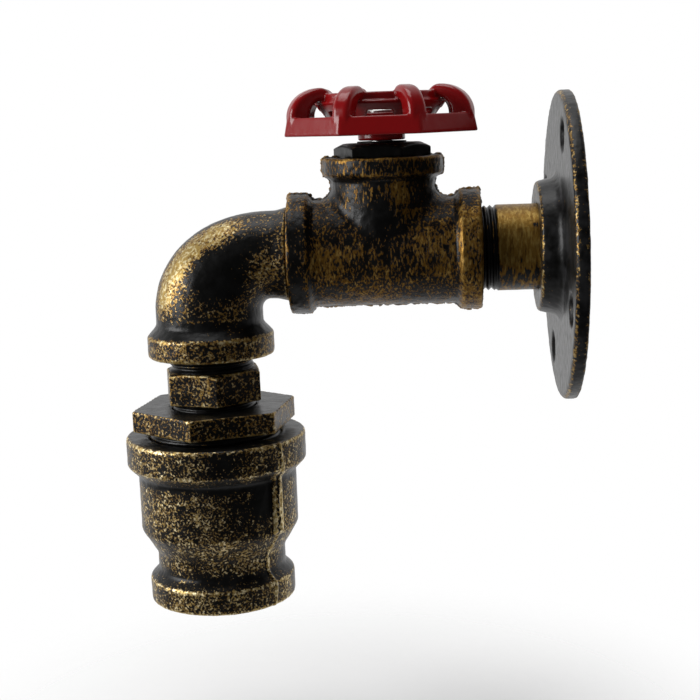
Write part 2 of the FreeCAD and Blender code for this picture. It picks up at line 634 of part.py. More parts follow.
def bonnet_plug():
    """Hexagon plug in the tee's branch, bored for the spindle."""
    head = chamfered_hexagon(
        BONNET_CIRCUMRADIUS, TEE_BRANCH_REACH, BONNET_TOP, BONNET_TURN,
        BONNET_TOP_RADIUS, BONNET_CHAMFER_HEIGHT)
    body = head.fuse(male_thread(BONNET_FOOT, TEE_BRANCH_REACH, True))
    body = body.cut(cylinder(SPINDLE_BORE_RADIUS, BONNET_FOOT - 1, BONNET_TOP + 1))
    return moved(body.removeSplitter(), x=TEE_X)


def disc_spring():
    """Coned spring washer that presses the spindle's collar away from the plug."""
    top = BONNET_FOOT
    foot = top - DISC_SPRING_RISE
    spring = turned([
        (SPINDLE_BORE_RADIUS, top - DISC_SPRING_THICKNESS, 0),
        (COLLAR_RADIUS, foot, 0),
        (COLLAR_RADIUS, foot + DISC_SPRING_THICKNESS, 0),
        (SPINDLE_BORE_RADIUS, top, 0)])
    return moved(spring, x=TEE_X)


def thrust_washer():
    """Flat washer on the plug, under the handwheel's boss."""
    return moved(ring(SPINDLE_BORE_RADIUS, THRUST_WASHER_RADIUS, BONNET_TOP,
                      BONNET_TOP + THRUST_WASHER_THICKNESS), x=TEE_X)


def spindle():
    """Collared spindle with a square end, drilled for the handwheel's screw."""
    foot = COLLAR_TOP - COLLAR_HEIGHT
    square_foot = BOSS_FOOT - MOVING_GAP / 2
    body = turned([
        (0, foot, 0), (COLLAR_RADIUS, foot, 0.3), (COLLAR_RADIUS, COLLAR_TOP, 0.3),
        (SPINDLE_RADIUS, COLLAR_TOP, 0), (SPINDLE_RADIUS, square_foot, 0), (0, square_foot, 0)])
    body = body.fuse(box(SPINDLE_SQUARE, SPINDLE_SQUARE, square_foot, SPINDLE_TOP))
    drilling = cylinder(SCREW_SHANK_RADIUS + SCREW_SHANK_GAP,
                        SPINDLE_TOP - SCREW_LENGTH - 1, SPINDLE_TOP + 1)
    return moved(body.cut(drilling), x=TEE_X)


def handwheel_washer():
    return moved(chamfered_end_ring(SCREW_SHANK_RADIUS + SCREW_SHANK_GAP, WASHER_RADIUS,
                                    BOSS_TOP, BOSS_TOP + WASHER_THICKNESS, 0.15), x=TEE_X)


def handwheel_screw():
    """Pan head screw with a cross slot, down the middle of the spindle."""
    seat = BOSS_TOP + WASHER_THICKNESS
    top = seat + SCREW_HEAD_HEIGHT
    body = turned([
        (0, seat - SCREW_LENGTH, 0), (SCREW_SHANK_RADIUS, seat - SCREW_LENGTH, 0.4),
        (SCREW_SHANK_RADIUS, seat, 0), (SCREW_HEAD_RADIUS, seat, 0.2),
        (SCREW_HEAD_RADIUS, top, 1.0), (0, top, 0)])
    slot_length = SCREW_HEAD_RADIUS * 1.2
    for width, depth in ((slot_length, SCREW_SLOT_WIDTH), (SCREW_SLOT_WIDTH, slot_length)):
        body = body.cut(box(width, depth, top - SCREW_SLOT_DEPTH, top + 1))
    return moved(body, x=TEE_X)


# ---- handwheel ---------------------------------------------------------------

def octagon(circumradius, height):
    """Octagon wire with its corners where the ribs stand."""
    corners = []
    for index in range(RIB_COUNT):
        angle = 2 * math.pi * index / RIB_COUNT
        corners.append(vec(circumradius * math.cos(angle), circumradius * math.sin(angle), height))
    corners.append(corners[0])
    return Part.makePolygon(corners)


def wheel_skirt():
    """Eight-sided band round the foot of the wheel, a little smaller at its top."""
    foot_outline = octagon(SKIRT_CIRCUMRADIUS, SKIRT_FOOT)
    top_outline = octagon(SKIRT_CIRCUMRADIUS - SKIRT_DRAFT, SKIRT_TOP)
    outer = Part.makeLoft([foot_outline, top_outline], True, True)
    upright = edges_where(outer, lambda edge: edge.BoundBox.ZLength > SKIRT_HEIGHT / 2)
    outer = outer.makeFillet(RIB_BACK_ROUNDING, upright)
    foot = edges_where(outer, lambda edge: edge.BoundBox.ZMax < SKIRT_FOOT + 0.01)
    outer = outer.makeFillet(RIB_EDGE_ROUNDING / 2, foot)
    inner_radius = SKIRT_CIRCUMRADIUS - SKIRT_WALL
    inner_foot = octagon(inner_radius, SKIRT_FOOT - 1)
    inner_top = octagon(inner_radius, SKIRT_TOP + 1)
    inner = Part.makeLoft([inner_foot, inner_top], True, True)
    return outer.cut(inner)


def arch_edge(centre, half_width, half_height):
    """Quarter of an upright ellipse in the XZ plane, from straight out to straight up."""
    if half_width > half_height:
        ellipse = Part.Ellipse(centre + vec(half_width, 0, 0), centre + vec(0, 0, half_height), centre)
        return ellipse.toShape(0, math.pi / 2)
    ellipse = Part.Ellipse(centre + vec(0, 0, half_height), centre + vec(-half_width, 0, 0), centre)
    return ellipse.toShape(-math.pi / 2, 0)


def rib_outline():
    """Side view of one rib: a leg inside the skirt, an arch, and an end inside the ring."""
    outer_radius = SKIRT_CIRCUMRADIUS - SKIRT_DRAFT - RIB_SETBACK
    inner_radius = outer_radius - RIB_BASE_DEPTH
    leg_foot = SKIRT_FOOT + RIB_LEG_CLEARANCE
    arch_height = RIB_TOP - SKIRT_TOP
    under_height = arch_height - RIB_CREST_DEPTH
    end_radius = RING_INNER_RADIUS + RIB_SETBACK
    roll_radius = RIB_CREST_RADIUS - end_radius
    arch_centre = vec(RIB_CREST_RADIUS, 0, SKIRT_TOP)
    roll_centre = vec(RIB_CREST_RADIUS, 0, RIB_TOP - roll_radius)
    slant = math.sqrt(0.5) * roll_radius
    crest = vec(RIB_CREST_RADIUS, 0, RIB_TOP)
    end_top = vec(end_radius, 0, RIB_TOP - roll_radius)
    over = arch_edge(arch_centre, outer_radius - RIB_CREST_RADIUS, arch_height)
    roll = Part.Arc(crest, roll_centre + vec(-slant, 0, slant), end_top).toShape()
    under = arch_edge(arch_centre, inner_radius - RIB_CREST_RADIUS, under_height)
    end_foot = vec(end_radius, 0, SKIRT_TOP + under_height)
    under_crest = vec(RIB_CREST_RADIUS, 0, SKIRT_TOP + under_height)
    haunch = vec(inner_radius, 0, SKIRT_TOP)
    leg_inside = vec(SKIRT_CIRCUMRADIUS - SKIRT_WALL, 0, leg_foot)
    leg_outside = vec(outer_radius, 0, leg_foot)
    leg_top = vec(outer_radius, 0, SKIRT_TOP)
    return Part.Wire([
        Part.makeLine(leg_outside, leg_top), over, roll, Part.makeLine(end_top, end_foot),
        Part.makeLine(end_foot, under_crest), under, Part.makeLine(haunch, leg_inside),
        Part.makeLine(leg_inside, leg_outside)])


def wheel_rib():
    """One rib with a broad, rounded back and softened lower edges."""
    rib = Part.Face(rib_outline()).extrude(vec(0, RIB_WIDTH, 0))
    rib = moved(rib, y=-RIB_WIDTH / 2)
    outer_radius = SKIRT_CIRCUMRADIUS - SKIRT_DRAFT - RIB_SETBACK

    def along_the_side(edge):
        return edge.BoundBox.YLength < 0.01

    def on_back(edge):
        middle = edge.valueAt((edge.FirstParameter + edge.LastParameter) / 2)
        high = middle.z > RIB_TOP - RIB_CREST_DEPTH / 2
        far_out = middle.x > outer_radius - RIB_SETBACK
        return along_the_side(edge) and (high or far_out)

    def on_underside(edge):
        bounds = edge.BoundBox
        under_arch = bounds.ZMin > SKIRT_TOP - 0.01 and bounds.ZMax < RIB_TOP - RIB_CREST_DEPTH + 0.01
        return along_the_side(edge) and under_arch and bounds.XLength > 1
    rib = rib.makeFillet(RIB_BACK_ROUNDING, edges_where(rib, on_back))
    return rib.makeFillet(RIB_EDGE_ROUNDING, edges_where(rib, on_underside))


def wheel_dish():
    """Boss, floor, cone and top ring of the wheel in one turned shape."""
    lip_height = RING_TOP - RING_HEIGHT
    floor_top = DISH_FLOOR + DISH_FLOOR_THICKNESS
    return turned([
        (0, BOSS_FOOT, 0),
        (BOSS_RADIUS, BOSS_FOOT, 0.5),
        (BOSS_RADIUS, DISH_FLOOR, 1.2),
        (DISH_FLOOR_RADIUS, DISH_FLOOR, 1.6),
        (LIP_RADIUS, lip_height, 0.4),
        (RING_WALL_RADIUS, lip_height, 0.3),
        (RING_WALL_RADIUS, RING_TOP, 0.7),
        (RING_INNER_RADIUS, RING_TOP, 0.7),
        (RING_INNER_RADIUS, floor_top + DISH_INNER_STEP, 0.8),
        (RING_INNER_RADIUS - DISH_INNER_STEP, floor_top, 0.8),
        (BOSS_RADIUS, floor_top, 0.5),
        (BOSS_RADIUS, BOSS_TOP, 0.5),
        (0, BOSS_TOP, 0)])


def handwheel():
    """Cast wheel: eight-sided skirt, arched ribs, ring, slotted dish and square-holed boss."""
    rib_step = 360 / RIB_COUNT
    first_rib = rib_step / 2 - 90
    wheel = wheel_dish()
    slot_foot = DISH_FLOOR + DISH_SLOT_LIFT
    slot = box(SKIRT_CIRCUMRADIUS / 2, DISH_SLOT_WIDTH, slot_foot, slot_foot + DISH_SLOT_HEIGHT,
               x=RING_INNER_RADIUS + SKIRT_CIRCUMRADIUS / 4 - DISH_INNER_STEP)
    for index in range(RIB_COUNT):
        wheel = wheel.cut(spun(slot, rib_step * index))
    arms = [spun(wheel_skirt(), first_rib)]
    rib = wheel_rib()
    for index in range(RIB_COUNT):
        arms.append(spun(rib, first_rib + rib_step * index))
    wheel = wheel.fuse(arms)
    hole = SPINDLE_SQUARE + 2 * SQUARE_GAP
    wheel = wheel.cut(box(hole, hole, BOSS_FOOT - 1, BOSS_TOP + 1))
    return moved(wheel.removeSplitter(), x=TEE_X)


# ---- lampholder inside the reducer -------------------------------------------

def ledge_height(radius):
    """Height of the reducer's sloping ledge at a radius from the lamp axis."""
    slope = REDUCER_LEDGE_TAPER / (CHAMBER_RADIUS - REDUCER_MOUTH_BORE)
    return REDUCER_LEDGE - slope * (CHAMBER_RADIUS - radius)


def clamp_ring():
    """Ring under the bushing that holds the lampholder down, with a lug for the earth screw."""
    body = ring(CLAMP_RING_INNER_RADIUS, HOLDER_HEAD_RADIUS, HOLDER_TOP, CLAMP_RING_TOP)
    lug_length = CLAMP_RING_INNER_RADIUS + CLAMP_RING_THICKNESS - EARTH_LUG_REACH
    lug = box(EARTH_LUG_WIDTH, lug_length, HOLDER_TOP, CLAMP_RING_TOP, y=EARTH_LUG_REACH + lug_length / 2)
    hole_radius = EARTH_SCREW_RADIUS + SMALL_HOLE_GAP
    hole = cylinder(hole_radius, HOLDER_TOP - 1, CLAMP_RING_TOP + 1, y=EARTH_SCREW_OFFSET)
    return moved(body.fuse(lug).removeSplitter().cut(hole), x=DROP_X)


def lampholder_body():
    """Porcelain body: broad head on the ledge, sleeve round the shell, two terminal wells."""
    cavity = SHELL_OUTER_RADIUS + SHELL_GAP
    body = turned([
        (0, SHELL_TOP, 0), (cavity, SHELL_TOP, 0), (cavity, HOLDER_FOOT, 0.4),
        (HOLDER_SLEEVE_RADIUS, HOLDER_FOOT, 0.6),
        (HOLDER_SLEEVE_RADIUS, ledge_height(HOLDER_SLEEVE_RADIUS) + SEAT_GAP, 0),
        (HOLDER_HEAD_RADIUS, ledge_height(HOLDER_HEAD_RADIUS) + SEAT_GAP, 0),
        (HOLDER_HEAD_RADIUS, HOLDER_TOP, 0.4), (0, HOLDER_TOP, 0)])
    for side in (-1, 1):
        body = body.cut(box(TERMINAL_LENGTH + TERMINAL_WELL_ROOM, TERMINAL_WIDTH + TERMINAL_WELL_ROOM,
                            WELL_FLOOR, HOLDER_TOP + 1, x=side * TERMINAL_OFFSET))
    body = body.cut(cylinder(EARTH_RECESS_RADIUS, HOLDER_TOP - EARTH_RECESS_DEPTH, HOLDER_TOP + 1,
                             y=EARTH_SCREW_OFFSET))
    return moved(body, x=DROP_X)


def lampholder_shell():
    """Screw shell for the lamp cap, with a turned-in top."""
    inner_top = SHELL_TOP - SHELL_WALL
    shell = turned([
        (SHELL_FLANGE_RADIUS, SHELL_TOP, 0),
        (SHELL_OUTER_RADIUS, SHELL_TOP, SHELL_TOP_ROUNDING),
        (SHELL_OUTER_RADIUS, SHELL_FOOT, 0),
        (SHELL_INNER_RADIUS, SHELL_FOOT, 0),
        (SHELL_INNER_RADIUS, inner_top, SHELL_TOP_ROUNDING - SHELL_WALL),
        (SHELL_FLANGE_RADIUS, inner_top, 0)])
    return moved(shell, x=DROP_X)


def centre_contact():
    """Spring tongue on the roof of the porcelain, over the middle of the lamp cap."""
    low = SHELL_TOP - CONTACT_SPRING_DROP
    thin = CONTACT_THICKNESS
    corners = [
        (-CONTACT_LENGTH, SHELL_TOP), (-1, SHELL_TOP), (CONTACT_TIP_LENGTH, low + thin),
        (2 * CONTACT_TIP_LENGTH, low + thin), (2 * CONTACT_TIP_LENGTH, low),
        (CONTACT_TIP_LENGTH, low), (-1, SHELL_TOP - thin), (-CONTACT_LENGTH, SHELL_TOP - thin)]
    points = [vec(x, -CONTACT_WIDTH / 2, z) for x, z in corners]
    points.append(points[0])
    tongue = Part.Face(Part.makePolygon(points)).extrude(vec(0, CONTACT_WIDTH, 0))
    return moved(tongue, x=DROP_X)


def terminal_block(side):
    """Brass block in its well, with a lead hole near the axis and a screw hole beyond it."""
    top = WELL_FLOOR + TERMINAL_HEIGHT
    block = box(TERMINAL_LENGTH, TERMINAL_WIDTH, WELL_FLOOR, top, x=side * TERMINAL_OFFSET)
    lead_hole = cylinder(LEAD_RADIUS + SMALL_HOLE_GAP, top - TERMINAL_HOLE_DEPTH, top + 1,
                         x=side * (TERMINAL_OFFSET - TERMINAL_HOLE_OFFSET))
    screw_hole = cylinder(TERMINAL_SCREW_RADIUS + SMALL_HOLE_GAP, top - TERMINAL_HOLE_DEPTH, top + 1,
                          x=side * (TERMINAL_OFFSET + TERMINAL_HOLE_OFFSET))
    return moved(block.cut(lead_hole).cut(screw_hole), x=DROP_X)


def slotted_screw(shank_radius, length, head_radius, seat):
    """Small cheese head screw with a straight slot, head upwards on its seat."""
    top = seat + SMALL_HEAD_HEIGHT
    body = turned([
        (0, seat - length, 0), (shank_radius, seat - length, 0.3), (shank_radius, seat, 0),
        (head_radius, seat, 0), (head_radius, top, 0.3), (0, top, 0)])
    return body.cut(box(SMALL_SLOT_WIDTH, 3 * head_radius, top - SMALL_SLOT_DEPTH, top + 1))


def terminal_screws():
    seat = WELL_FLOOR + TERMINAL_HEIGHT
    screw = slotted_screw(TERMINAL_SCREW_RADIUS, TERMINAL_SCREW_LENGTH, TERMINAL_SCREW_HEAD_RADIUS, seat)
    reach = TERMINAL_OFFSET + TERMINAL_HOLE_OFFSET
    return Part.makeCompound([moved(screw, x=DROP_X - reach), moved(screw, x=DROP_X + reach)])


def earth_screw():
    screw = slotted_screw(EARTH_SCREW_RADIUS, EARTH_SCREW_LENGTH, EARTH_SCREW_HEAD_RADIUS,
                          CLAMP_RING_TOP + TAG_THICKNESS)
    return moved(screw, x=DROP_X, y=EARTH_SCREW_OFFSET)


def earth_tag():
    """Ring tag under the earth screw, with an upright barrel round the lead's end."""
    top = CLAMP_RING_TOP + TAG_THICKNESS
    barrel_offset = EARTH_SCREW_OFFSET - TAG_BARREL_SETBACK
    plate = cylinder(TAG_RADIUS, CLAMP_RING_TOP, top, y=EARTH_SCREW_OFFSET)
    tongue = box(2 * TAG_BARREL_RADIUS, TAG_BARREL_SETBACK, CLAMP_RING_TOP, top,
                 y=barrel_offset + TAG_BARREL_SETBACK / 2)
    barrel = cylinder(TAG_BARREL_RADIUS, CLAMP_RING_TOP, top + TAG_BARREL_HEIGHT, y=barrel_offset)
    bore = cylinder(LEAD_RADIUS + SMALL_HOLE_GAP, top, top + TAG_BARREL_HEIGHT + 1, y=barrel_offset)
    hole = cylinder(EARTH_SCREW_RADIUS + SMALL_HOLE_GAP, CLAMP_RING_TOP - 1, top + 1, y=EARTH_SCREW_OFFSET)
    return moved(plate.fuse([tongue, barrel]).removeSplitter().cut(bore).cut(hole), x=DROP_X)


def lead(start_y, height, drop_offset, end_x, end_y, end_height):
    """One lead: along the pipe, round the elbow, down the drop and out to its terminal."""
    drop = DROP_X + drop_offset
    spread_end = CLAMP_RING_TOP + LEAD_TAIL_LENGTH
    points = [
        vec(-LEAD_BACK_SETBACK, start_y, height),
        vec(drop, start_y, height),
        vec(drop, start_y, spread_end + LEAD_SPREAD_LENGTH),
        vec(DROP_X + end_x, end_y, spread_end),
        vec(DROP_X + end_x, end_y, end_height)]
    bend_radius = LEAD_BEND_RADIUS + height
    return round_wire(points, [bend_radius, LEAD_TAIL_BEND_RADIUS, LEAD_TAIL_BEND_RADIUS], LEAD_RADIUS)


def terminal_lead(side):
    end_height = WELL_FLOOR + TERMINAL_HEIGHT - TERMINAL_HOLE_DEPTH
    reach = TERMINAL_OFFSET - TERMINAL_HOLE_OFFSET
    return lead(0, -side * LEAD_OFFSET, side * LEAD_OFFSET, side * reach, 0, end_height)


def earth_lead():
    end_height = CLAMP_RING_TOP + TAG_THICKNESS
    return lead(LEAD_OFFSET, 0, 0, 0, EARTH_SCREW_OFFSET - TAG_BARREL_SETBACK, end_height)


# ---- parts -------------------------------------------------------------------

PARTS = {
    "wall_flange": wall_flange,
    "wall_nipple": wall_nipple,
    "tee": tee,
    "bonnet_plug": bonnet_plug,
    "spindle": spindle,
    "disc_spring": disc_spring,
    "thrust_washer": thrust_washer,
    "handwheel": handwheel,
    "handwheel_washer": handwheel_washer,
    "handwheel_screw": handwheel_screw,
    "street_elbow": street_elbow,
    "hex_nipple": hex_nipple,
    "hex_bushing": hex_bushing,
    "reducer": reducer,
    "clamp_ring": clamp_ring,
    "lampholder_body": lampholder_body,
    "lampholder_shell": lampholder_shell,
    "centre_contact": centre_contact,
    "terminal_block_live": lambda: terminal_block(-1),
    "terminal_block_neutral": lambda: terminal_block(1),
    "terminal_screws": terminal_screws,
    "lead_live": lambda: terminal_lead(-1),
    "lead_neutral": lambda: terminal_lead(1),
    "lead_earth": earth_lead,
    "earth_tag": earth_tag,
    "earth_screw": earth_screw,
}

os.makedirs("parts", exist_ok=True)
for name, make in PARTS.items():
    shape = make()
    shape.exportStep("parts/" + name + ".step")
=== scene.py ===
"""Visual model of a wall light made of iron pipe fittings with a red handwheel.

Lengths are in millimetres, in the frame of the CAD model, and become metres where they are handed to Blender.
+X points into the wall, +Z is up, and the lamp hangs on the -X side.
"""

import logging
import math
from dataclasses import dataclass
from enum import Enum
from typing import Callable, Dict, Optional, Sequence, Tuple, Union

import bpy
from mathutils import Matrix, Vector, noise


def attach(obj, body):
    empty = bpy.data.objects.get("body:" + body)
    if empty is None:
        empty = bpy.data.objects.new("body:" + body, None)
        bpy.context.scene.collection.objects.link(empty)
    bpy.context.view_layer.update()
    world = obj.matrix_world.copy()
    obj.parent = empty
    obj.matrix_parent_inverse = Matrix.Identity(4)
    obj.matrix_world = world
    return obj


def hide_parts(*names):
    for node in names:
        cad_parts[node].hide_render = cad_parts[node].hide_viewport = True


LOG = logging.getLogger("wall_light")
MM = 0.001
TEE_X = -57.75
DROP_X = -113.8
PIPE_RADIUS = 13.335
PIPE_PITCH = 1.814
PIPE_THREAD_DEPTH = 0.95

Colour = Tuple[float, float, float]
Point = Tuple[float, float, float]
RubMap = Callable[[Vector, Vector], float]

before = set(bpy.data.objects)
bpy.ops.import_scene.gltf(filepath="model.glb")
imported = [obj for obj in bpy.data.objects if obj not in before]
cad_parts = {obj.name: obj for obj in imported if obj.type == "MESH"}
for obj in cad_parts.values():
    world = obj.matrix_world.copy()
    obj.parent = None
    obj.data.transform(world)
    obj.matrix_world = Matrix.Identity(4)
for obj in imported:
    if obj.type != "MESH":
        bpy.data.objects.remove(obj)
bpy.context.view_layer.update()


class Body(Enum):
    """The rigid bodies that the pieces ride on."""

    FIXTURE = "fixture"
    WHEEL = "wheel"


class Finish(Enum):
    """The finishes, by the name of their material."""

    RUBBED_GOLD = "rubbed_gold_on_iron"
    STREAKED_GOLD = "streaked_gold_on_iron"
    SPECKLED_GOLD = "speckled_gold_on_iron"
    SCRAPED_GOLD = "scraped_gold_on_pipe"
    BLACK_IRON = "smooth_black_iron"
    BLACK_GLOSS = "black_gloss"
    RED_GLOSS = "red_gloss"
    DARK_STEEL = "dark_washers"
    ZINC = "zinc_plate"
    BRASS = "brass"
    SHELL_METAL = "shell_metal"
    PORCELAIN = "porcelain"
    BROWN_LEAD = "lead_brown"
    BLUE_LEAD = "lead_blue"
    EARTH_LEAD = "lead_green"


# ---- shader building ---------------------------------------------------------

class Signal:
    """One number or vector that runs through a shader, with Python's arithmetic."""

    def __init__(self, board: "Board", socket: bpy.types.NodeSocket) -> None:
        """Wraps an output socket.

        Args:
            board: the board that the socket's node is on.
            socket: the output socket.
        """
        self.board = board
        self.socket = socket

    def maths(self, operation: str, first: "Feed", second: "Feed") -> "Signal":
        """Adds a Math node.

        Args:
            operation: the Math node's operation.
            first: what feeds its first input.
            second: what feeds its second input.

        Returns:
            The result.
        """
        node = self.board.node("ShaderNodeMath", {"operation": operation}, {0: first, 1: second})
        return Signal(self.board, node.outputs[0])

    def __add__(self, other: "Feed") -> "Signal":
        """Sum."""
        return self.maths("ADD", self, other)

    __radd__ = __add__

    def __mul__(self, other: "Feed") -> "Signal":
        """Product."""
        return self.maths("MULTIPLY", self, other)

    __rmul__ = __mul__

    def __sub__(self, other: "Feed") -> "Signal":
        """Difference."""
        return self.maths("SUBTRACT", self, other)

    def __rsub__(self, other: "Feed") -> "Signal":
        """Difference, with the plain value first."""
        return self.maths("SUBTRACT", other, self)

    def at_least(self, floor: "Feed") -> "Signal":
        """The larger of the signal and a floor."""
        return self.maths("MAXIMUM", self, floor)

    def step(self, low: float, high: float) -> "Signal":
        """Smooth step from 0 at low to 1 at high.

        Args:
            low: value at and below which the result is 0.
            high: value at and above which the result is 1.

        Returns:
            The stepped signal.
        """
        node = self.board.node("ShaderNodeMapRange", {"interpolation_type": "SMOOTHSTEP"}, {
            "Value": self, "From Min": low, "From Max": high})
        return Signal(self.board, node.outputs["Result"])


Feed = Union[Signal, float, Sequence[float]]


class Board:
    """A node tree and the means to wire it."""

    def __init__(self, tree: bpy.types.NodeTree) -> None:
        """Takes a tree and empties it."""
        self.tree = tree
        self.tree.nodes.clear()

    def node(self, kind: str, settings: Optional[Dict] = None,
             inputs: Optional[Dict] = None) -> bpy.types.Node:
        """Adds a node.

        Args:
            kind: the node's type.
            settings: its properties, set before its inputs.
            inputs: values or signals for its sockets, by name or number.

        Returns:
            The new node.
        """
        node = self.tree.nodes.new(kind)
        for name, value in (settings or {}).items():
            setattr(node, name, value)
        for name, value in (inputs or {}).items():
            self.feed(node.inputs[name], value)
        return node

    def feed(self, socket: bpy.types.NodeSocket, value: "Feed") -> None:
        """Sets a socket to a value, or links a signal to it.

        Args:
            socket: the input socket.
            value: the value or the signal.
        """
        if isinstance(value, Signal):
            self.tree.links.new(value.socket, socket)
        else:
            socket.default_value = value

    def tap(self, kind: str, output: str) -> Signal:
        """A signal from an output of a new node that needs no inputs."""
        return Signal(self, self.node(kind).outputs[output])

    def blend(self, share: "Feed", first: "Feed", second: "Feed") -> Signal:
        """Blends two numbers.

        Args:
            share: 0 gives the first number and 1 the second.
            first: a number or a signal.
            second: a number or a signal.

        Returns:
            The blended number.
        """
        node = self.node("ShaderNodeMix", {"data_type": "FLOAT"}, {0: share, 2: first, 3: second})
        return Signal(self, node.outputs[0])

    def mix(self, share: "Feed", first: "Feed", second: "Feed") -> Signal:
        """Blends two colours.

        Args:
            share: 0 gives the first colour and 1 the second.
            first: a colour or a signal.
            second: a colour or a signal.

        Returns:
            The blended colour.
        """
        first, second = (value if isinstance(value, Signal) else (*value, 1.0) for value in (first, second))
        node = self.node("ShaderNodeMix", {"data_type": "RGBA"}, {0: share, 6: first, 7: second})
        return Signal(self, node.outputs[2])


class Paintwork(Board):
    """A material's nodes: its shader, and patterns that are fixed to the piece."""

    def __init__(self, name: str) -> None:
        """Starts a material with a plain shader.

        Args:
            name: the material's name.
        """
        self.material = bpy.data.materials.new(name)
        self.material.use_nodes = True
        super().__init__(self.material.node_tree)
        self.shader = self.node("ShaderNodeBsdfPrincipled")
        self.output = self.node("ShaderNodeOutputMaterial", {}, {
            "Surface": Signal(self, self.shader.outputs["BSDF"])})
        scaled = self.node("ShaderNodeVectorMath", {"operation": "SCALE"}, {
            0: self.tap("ShaderNodeTexCoord", "Object"), "Scale": 1 / MM})
        self.place = Signal(self, scaled.outputs[0])

    def noise(self, size: float, detail: float = 3.0, roughness: float = 0.55, shift: float = 0.0,
              squeeze: Point = (1.0, 1.0, 1.0)) -> Signal:
        """Cloudy pattern about 0.5.

        Args:
            size: width of its features.
            detail: how many finer layers it has.
            roughness: how strong the finer layers are.
            shift: moves the pattern, so that two of one size differ.
            squeeze: scale of the pattern's axes; below 1 draws it out into streaks.

        Returns:
            The pattern, from 0 to 1.
        """
        moved = self.node("ShaderNodeVectorMath", {"operation": "MULTIPLY_ADD"}, {
            0: self.place, 1: squeeze, 2: (shift, -shift, shift)})
        node = self.node("ShaderNodeTexNoise", {}, {
            "Vector": Signal(self, moved.outputs[0]), "Scale": 1 / size,
            "Detail": detail, "Roughness": roughness})
        return Signal(self, node.outputs["Fac"])

    def attribute(self, name: str) -> Signal:
        """A number stored at each vertex."""
        node = self.node("ShaderNodeAttribute", {"attribute_name": name})
        return Signal(self, node.outputs["Fac"])

    def bump(self, height: Signal, distance: float, strength: float) -> Signal:
        """Turns a height into a normal.

        Args:
            height: the relief, from 0 to 1.
            distance: how deep that is.
            strength: how much of it shows.

        Returns:
            The bent normal.
        """
        node = self.node("ShaderNodeBump", {}, {
            "Height": height, "Distance": distance * MM, "Strength": strength})
        return Signal(self, node.outputs["Normal"])

    def surface(self, **inputs: "Feed") -> bpy.types.Material:
        """Feeds the shader.

        Args:
            inputs: values or signals by the socket's name, with underscores for spaces.

        Returns:
            The material.
        """
        for name, value in inputs.items():
            self.feed(self.shader.inputs[name.replace("_", " ").title().replace("Ior", "IOR")], value)
        return self.material


# ---- finishes ----------------------------------------------------------------

@dataclass(frozen=True)
class RubbedGold:
    """Black paint with antique gold rubbed over what stands proud."""

    black: Colour = (0.0014, 0.0013, 0.0011)
    slate: Colour = (0.0050, 0.0050, 0.0050)
    umber: Colour = (0.150, 0.075, 0.014)
    gold: Colour = (0.320, 0.218, 0.066)
    straw: Colour = (0.560, 0.480, 0.280)
    fleck: float = 0.78
    clot: float = 2.6
    drift: float = 12.0
    fleck_pull: float = 3.0
    clot_pull: float = 0.8
    drift_pull: float = 0.5
    edge_pull: float = 1.1
    hollow_pull: float = 0.9
    cover: Tuple[float, float] = (0.47, 0.57)
    thickness: Tuple[float, float] = (0.45, 1.25)
    squeeze: Point = (1.0, 1.0, 1.0)
    relief: float = 0.09

    def make(self, name: str) -> bpy.types.Material:
        """Builds the material.

        Args:
            name: the material's name.

        Returns:
            The material.
        """
        board = Paintwork(name)
        flecks = board.noise(self.fleck, 2.0, 0.6, 0.0, self.squeeze)
        clots = board.noise(self.clot, 3.0, 0.6, 7.0, self.squeeze)
        drifts = board.noise(self.drift, 2.0, 0.5, 31.0)
        relief = board.attribute("proud") * self.edge_pull - board.attribute("sunk") * self.hollow_pull
        amount = board.attribute("rub") + relief
        amount = amount + (flecks - 0.5) * self.fleck_pull + (clots - 0.5) * self.clot_pull
        amount = amount + (drifts - 0.5) * self.drift_pull
        mask = amount.step(*self.cover)
        rich = (amount + (clots - 0.5) * 0.8).step(*self.thickness)
        light = board.noise(1.1, 2.0, 0.6, 53.0, self.squeeze).step(0.44, 0.64)
        gold = board.mix(rich, self.umber, board.mix(light, self.gold, self.straw))
        paint = board.mix(board.noise(5.0, 4.0, 0.6, 71.0).step(0.35, 0.75), self.black, self.slate)
        pits = board.noise(0.5, 3.0, 0.7, 19.0)
        return board.surface(
            base_color=board.mix(mask, paint, gold),
            metallic=mask * 0.7,
            roughness=0.34 + mask * 0.10 + (clots - 0.5) * 0.2,
            normal=board.bump(mask * 0.45 + pits * 0.55, self.relief, 0.8),
            specular_ior_level=0.20)


@dataclass(frozen=True)
class GlossPaint:
    """Thick glossy paint on a casting, darker in its hollows as painted shade and in random patches as tone,
    and a little lighter on its edges as painted highlight broken up like wear.
    """

    colour: Colour
    # shade: the same red darker, painted shade in the hollows and random darker tone in patches
    shade: Colour
    # the lighter red on the edges: painted highlight, broken up like wear
    edge_highlight_and_wear: Colour
    roughness: float = 0.22

    def make(self, name: str) -> bpy.types.Material:
        """Builds the material.

        Args:
            name: the material's name.

        Returns:
            The material.
        """
        board = Paintwork(name)
        drift = board.noise(6.0, 3.0, 0.55)
        skin = board.noise(1.6, 2.0, 0.5, 11.0)
        # darker red where the surface is sunk (painted shade in the hollows) and in random drift patches
        # (tone)
        hollow = (drift * 0.5 + board.attribute("sunk") * 0.8).step(0.2, 0.9)
        # lighter red on proud edges, broken up by these chips: painted highlight with the look of wear
        chips = board.noise(0.9, 3.0, 0.7, 23.0) - 0.5
        thin = (board.attribute("proud") * 0.9 + chips * 0.8).step(0.55, 1.0)
        return board.surface(
            base_color=board.mix(thin * 0.6, board.mix(hollow, self.colour, self.shade), self.edge_highlight_and_wear),
            roughness=self.roughness + thin * 0.10 + (drift - 0.5) * 0.10,
            normal=board.bump(skin * 0.7 + drift * 0.3, 0.02, 0.6),
            specular_ior_level=0.32, coat_weight=0.04, coat_roughness=0.15)


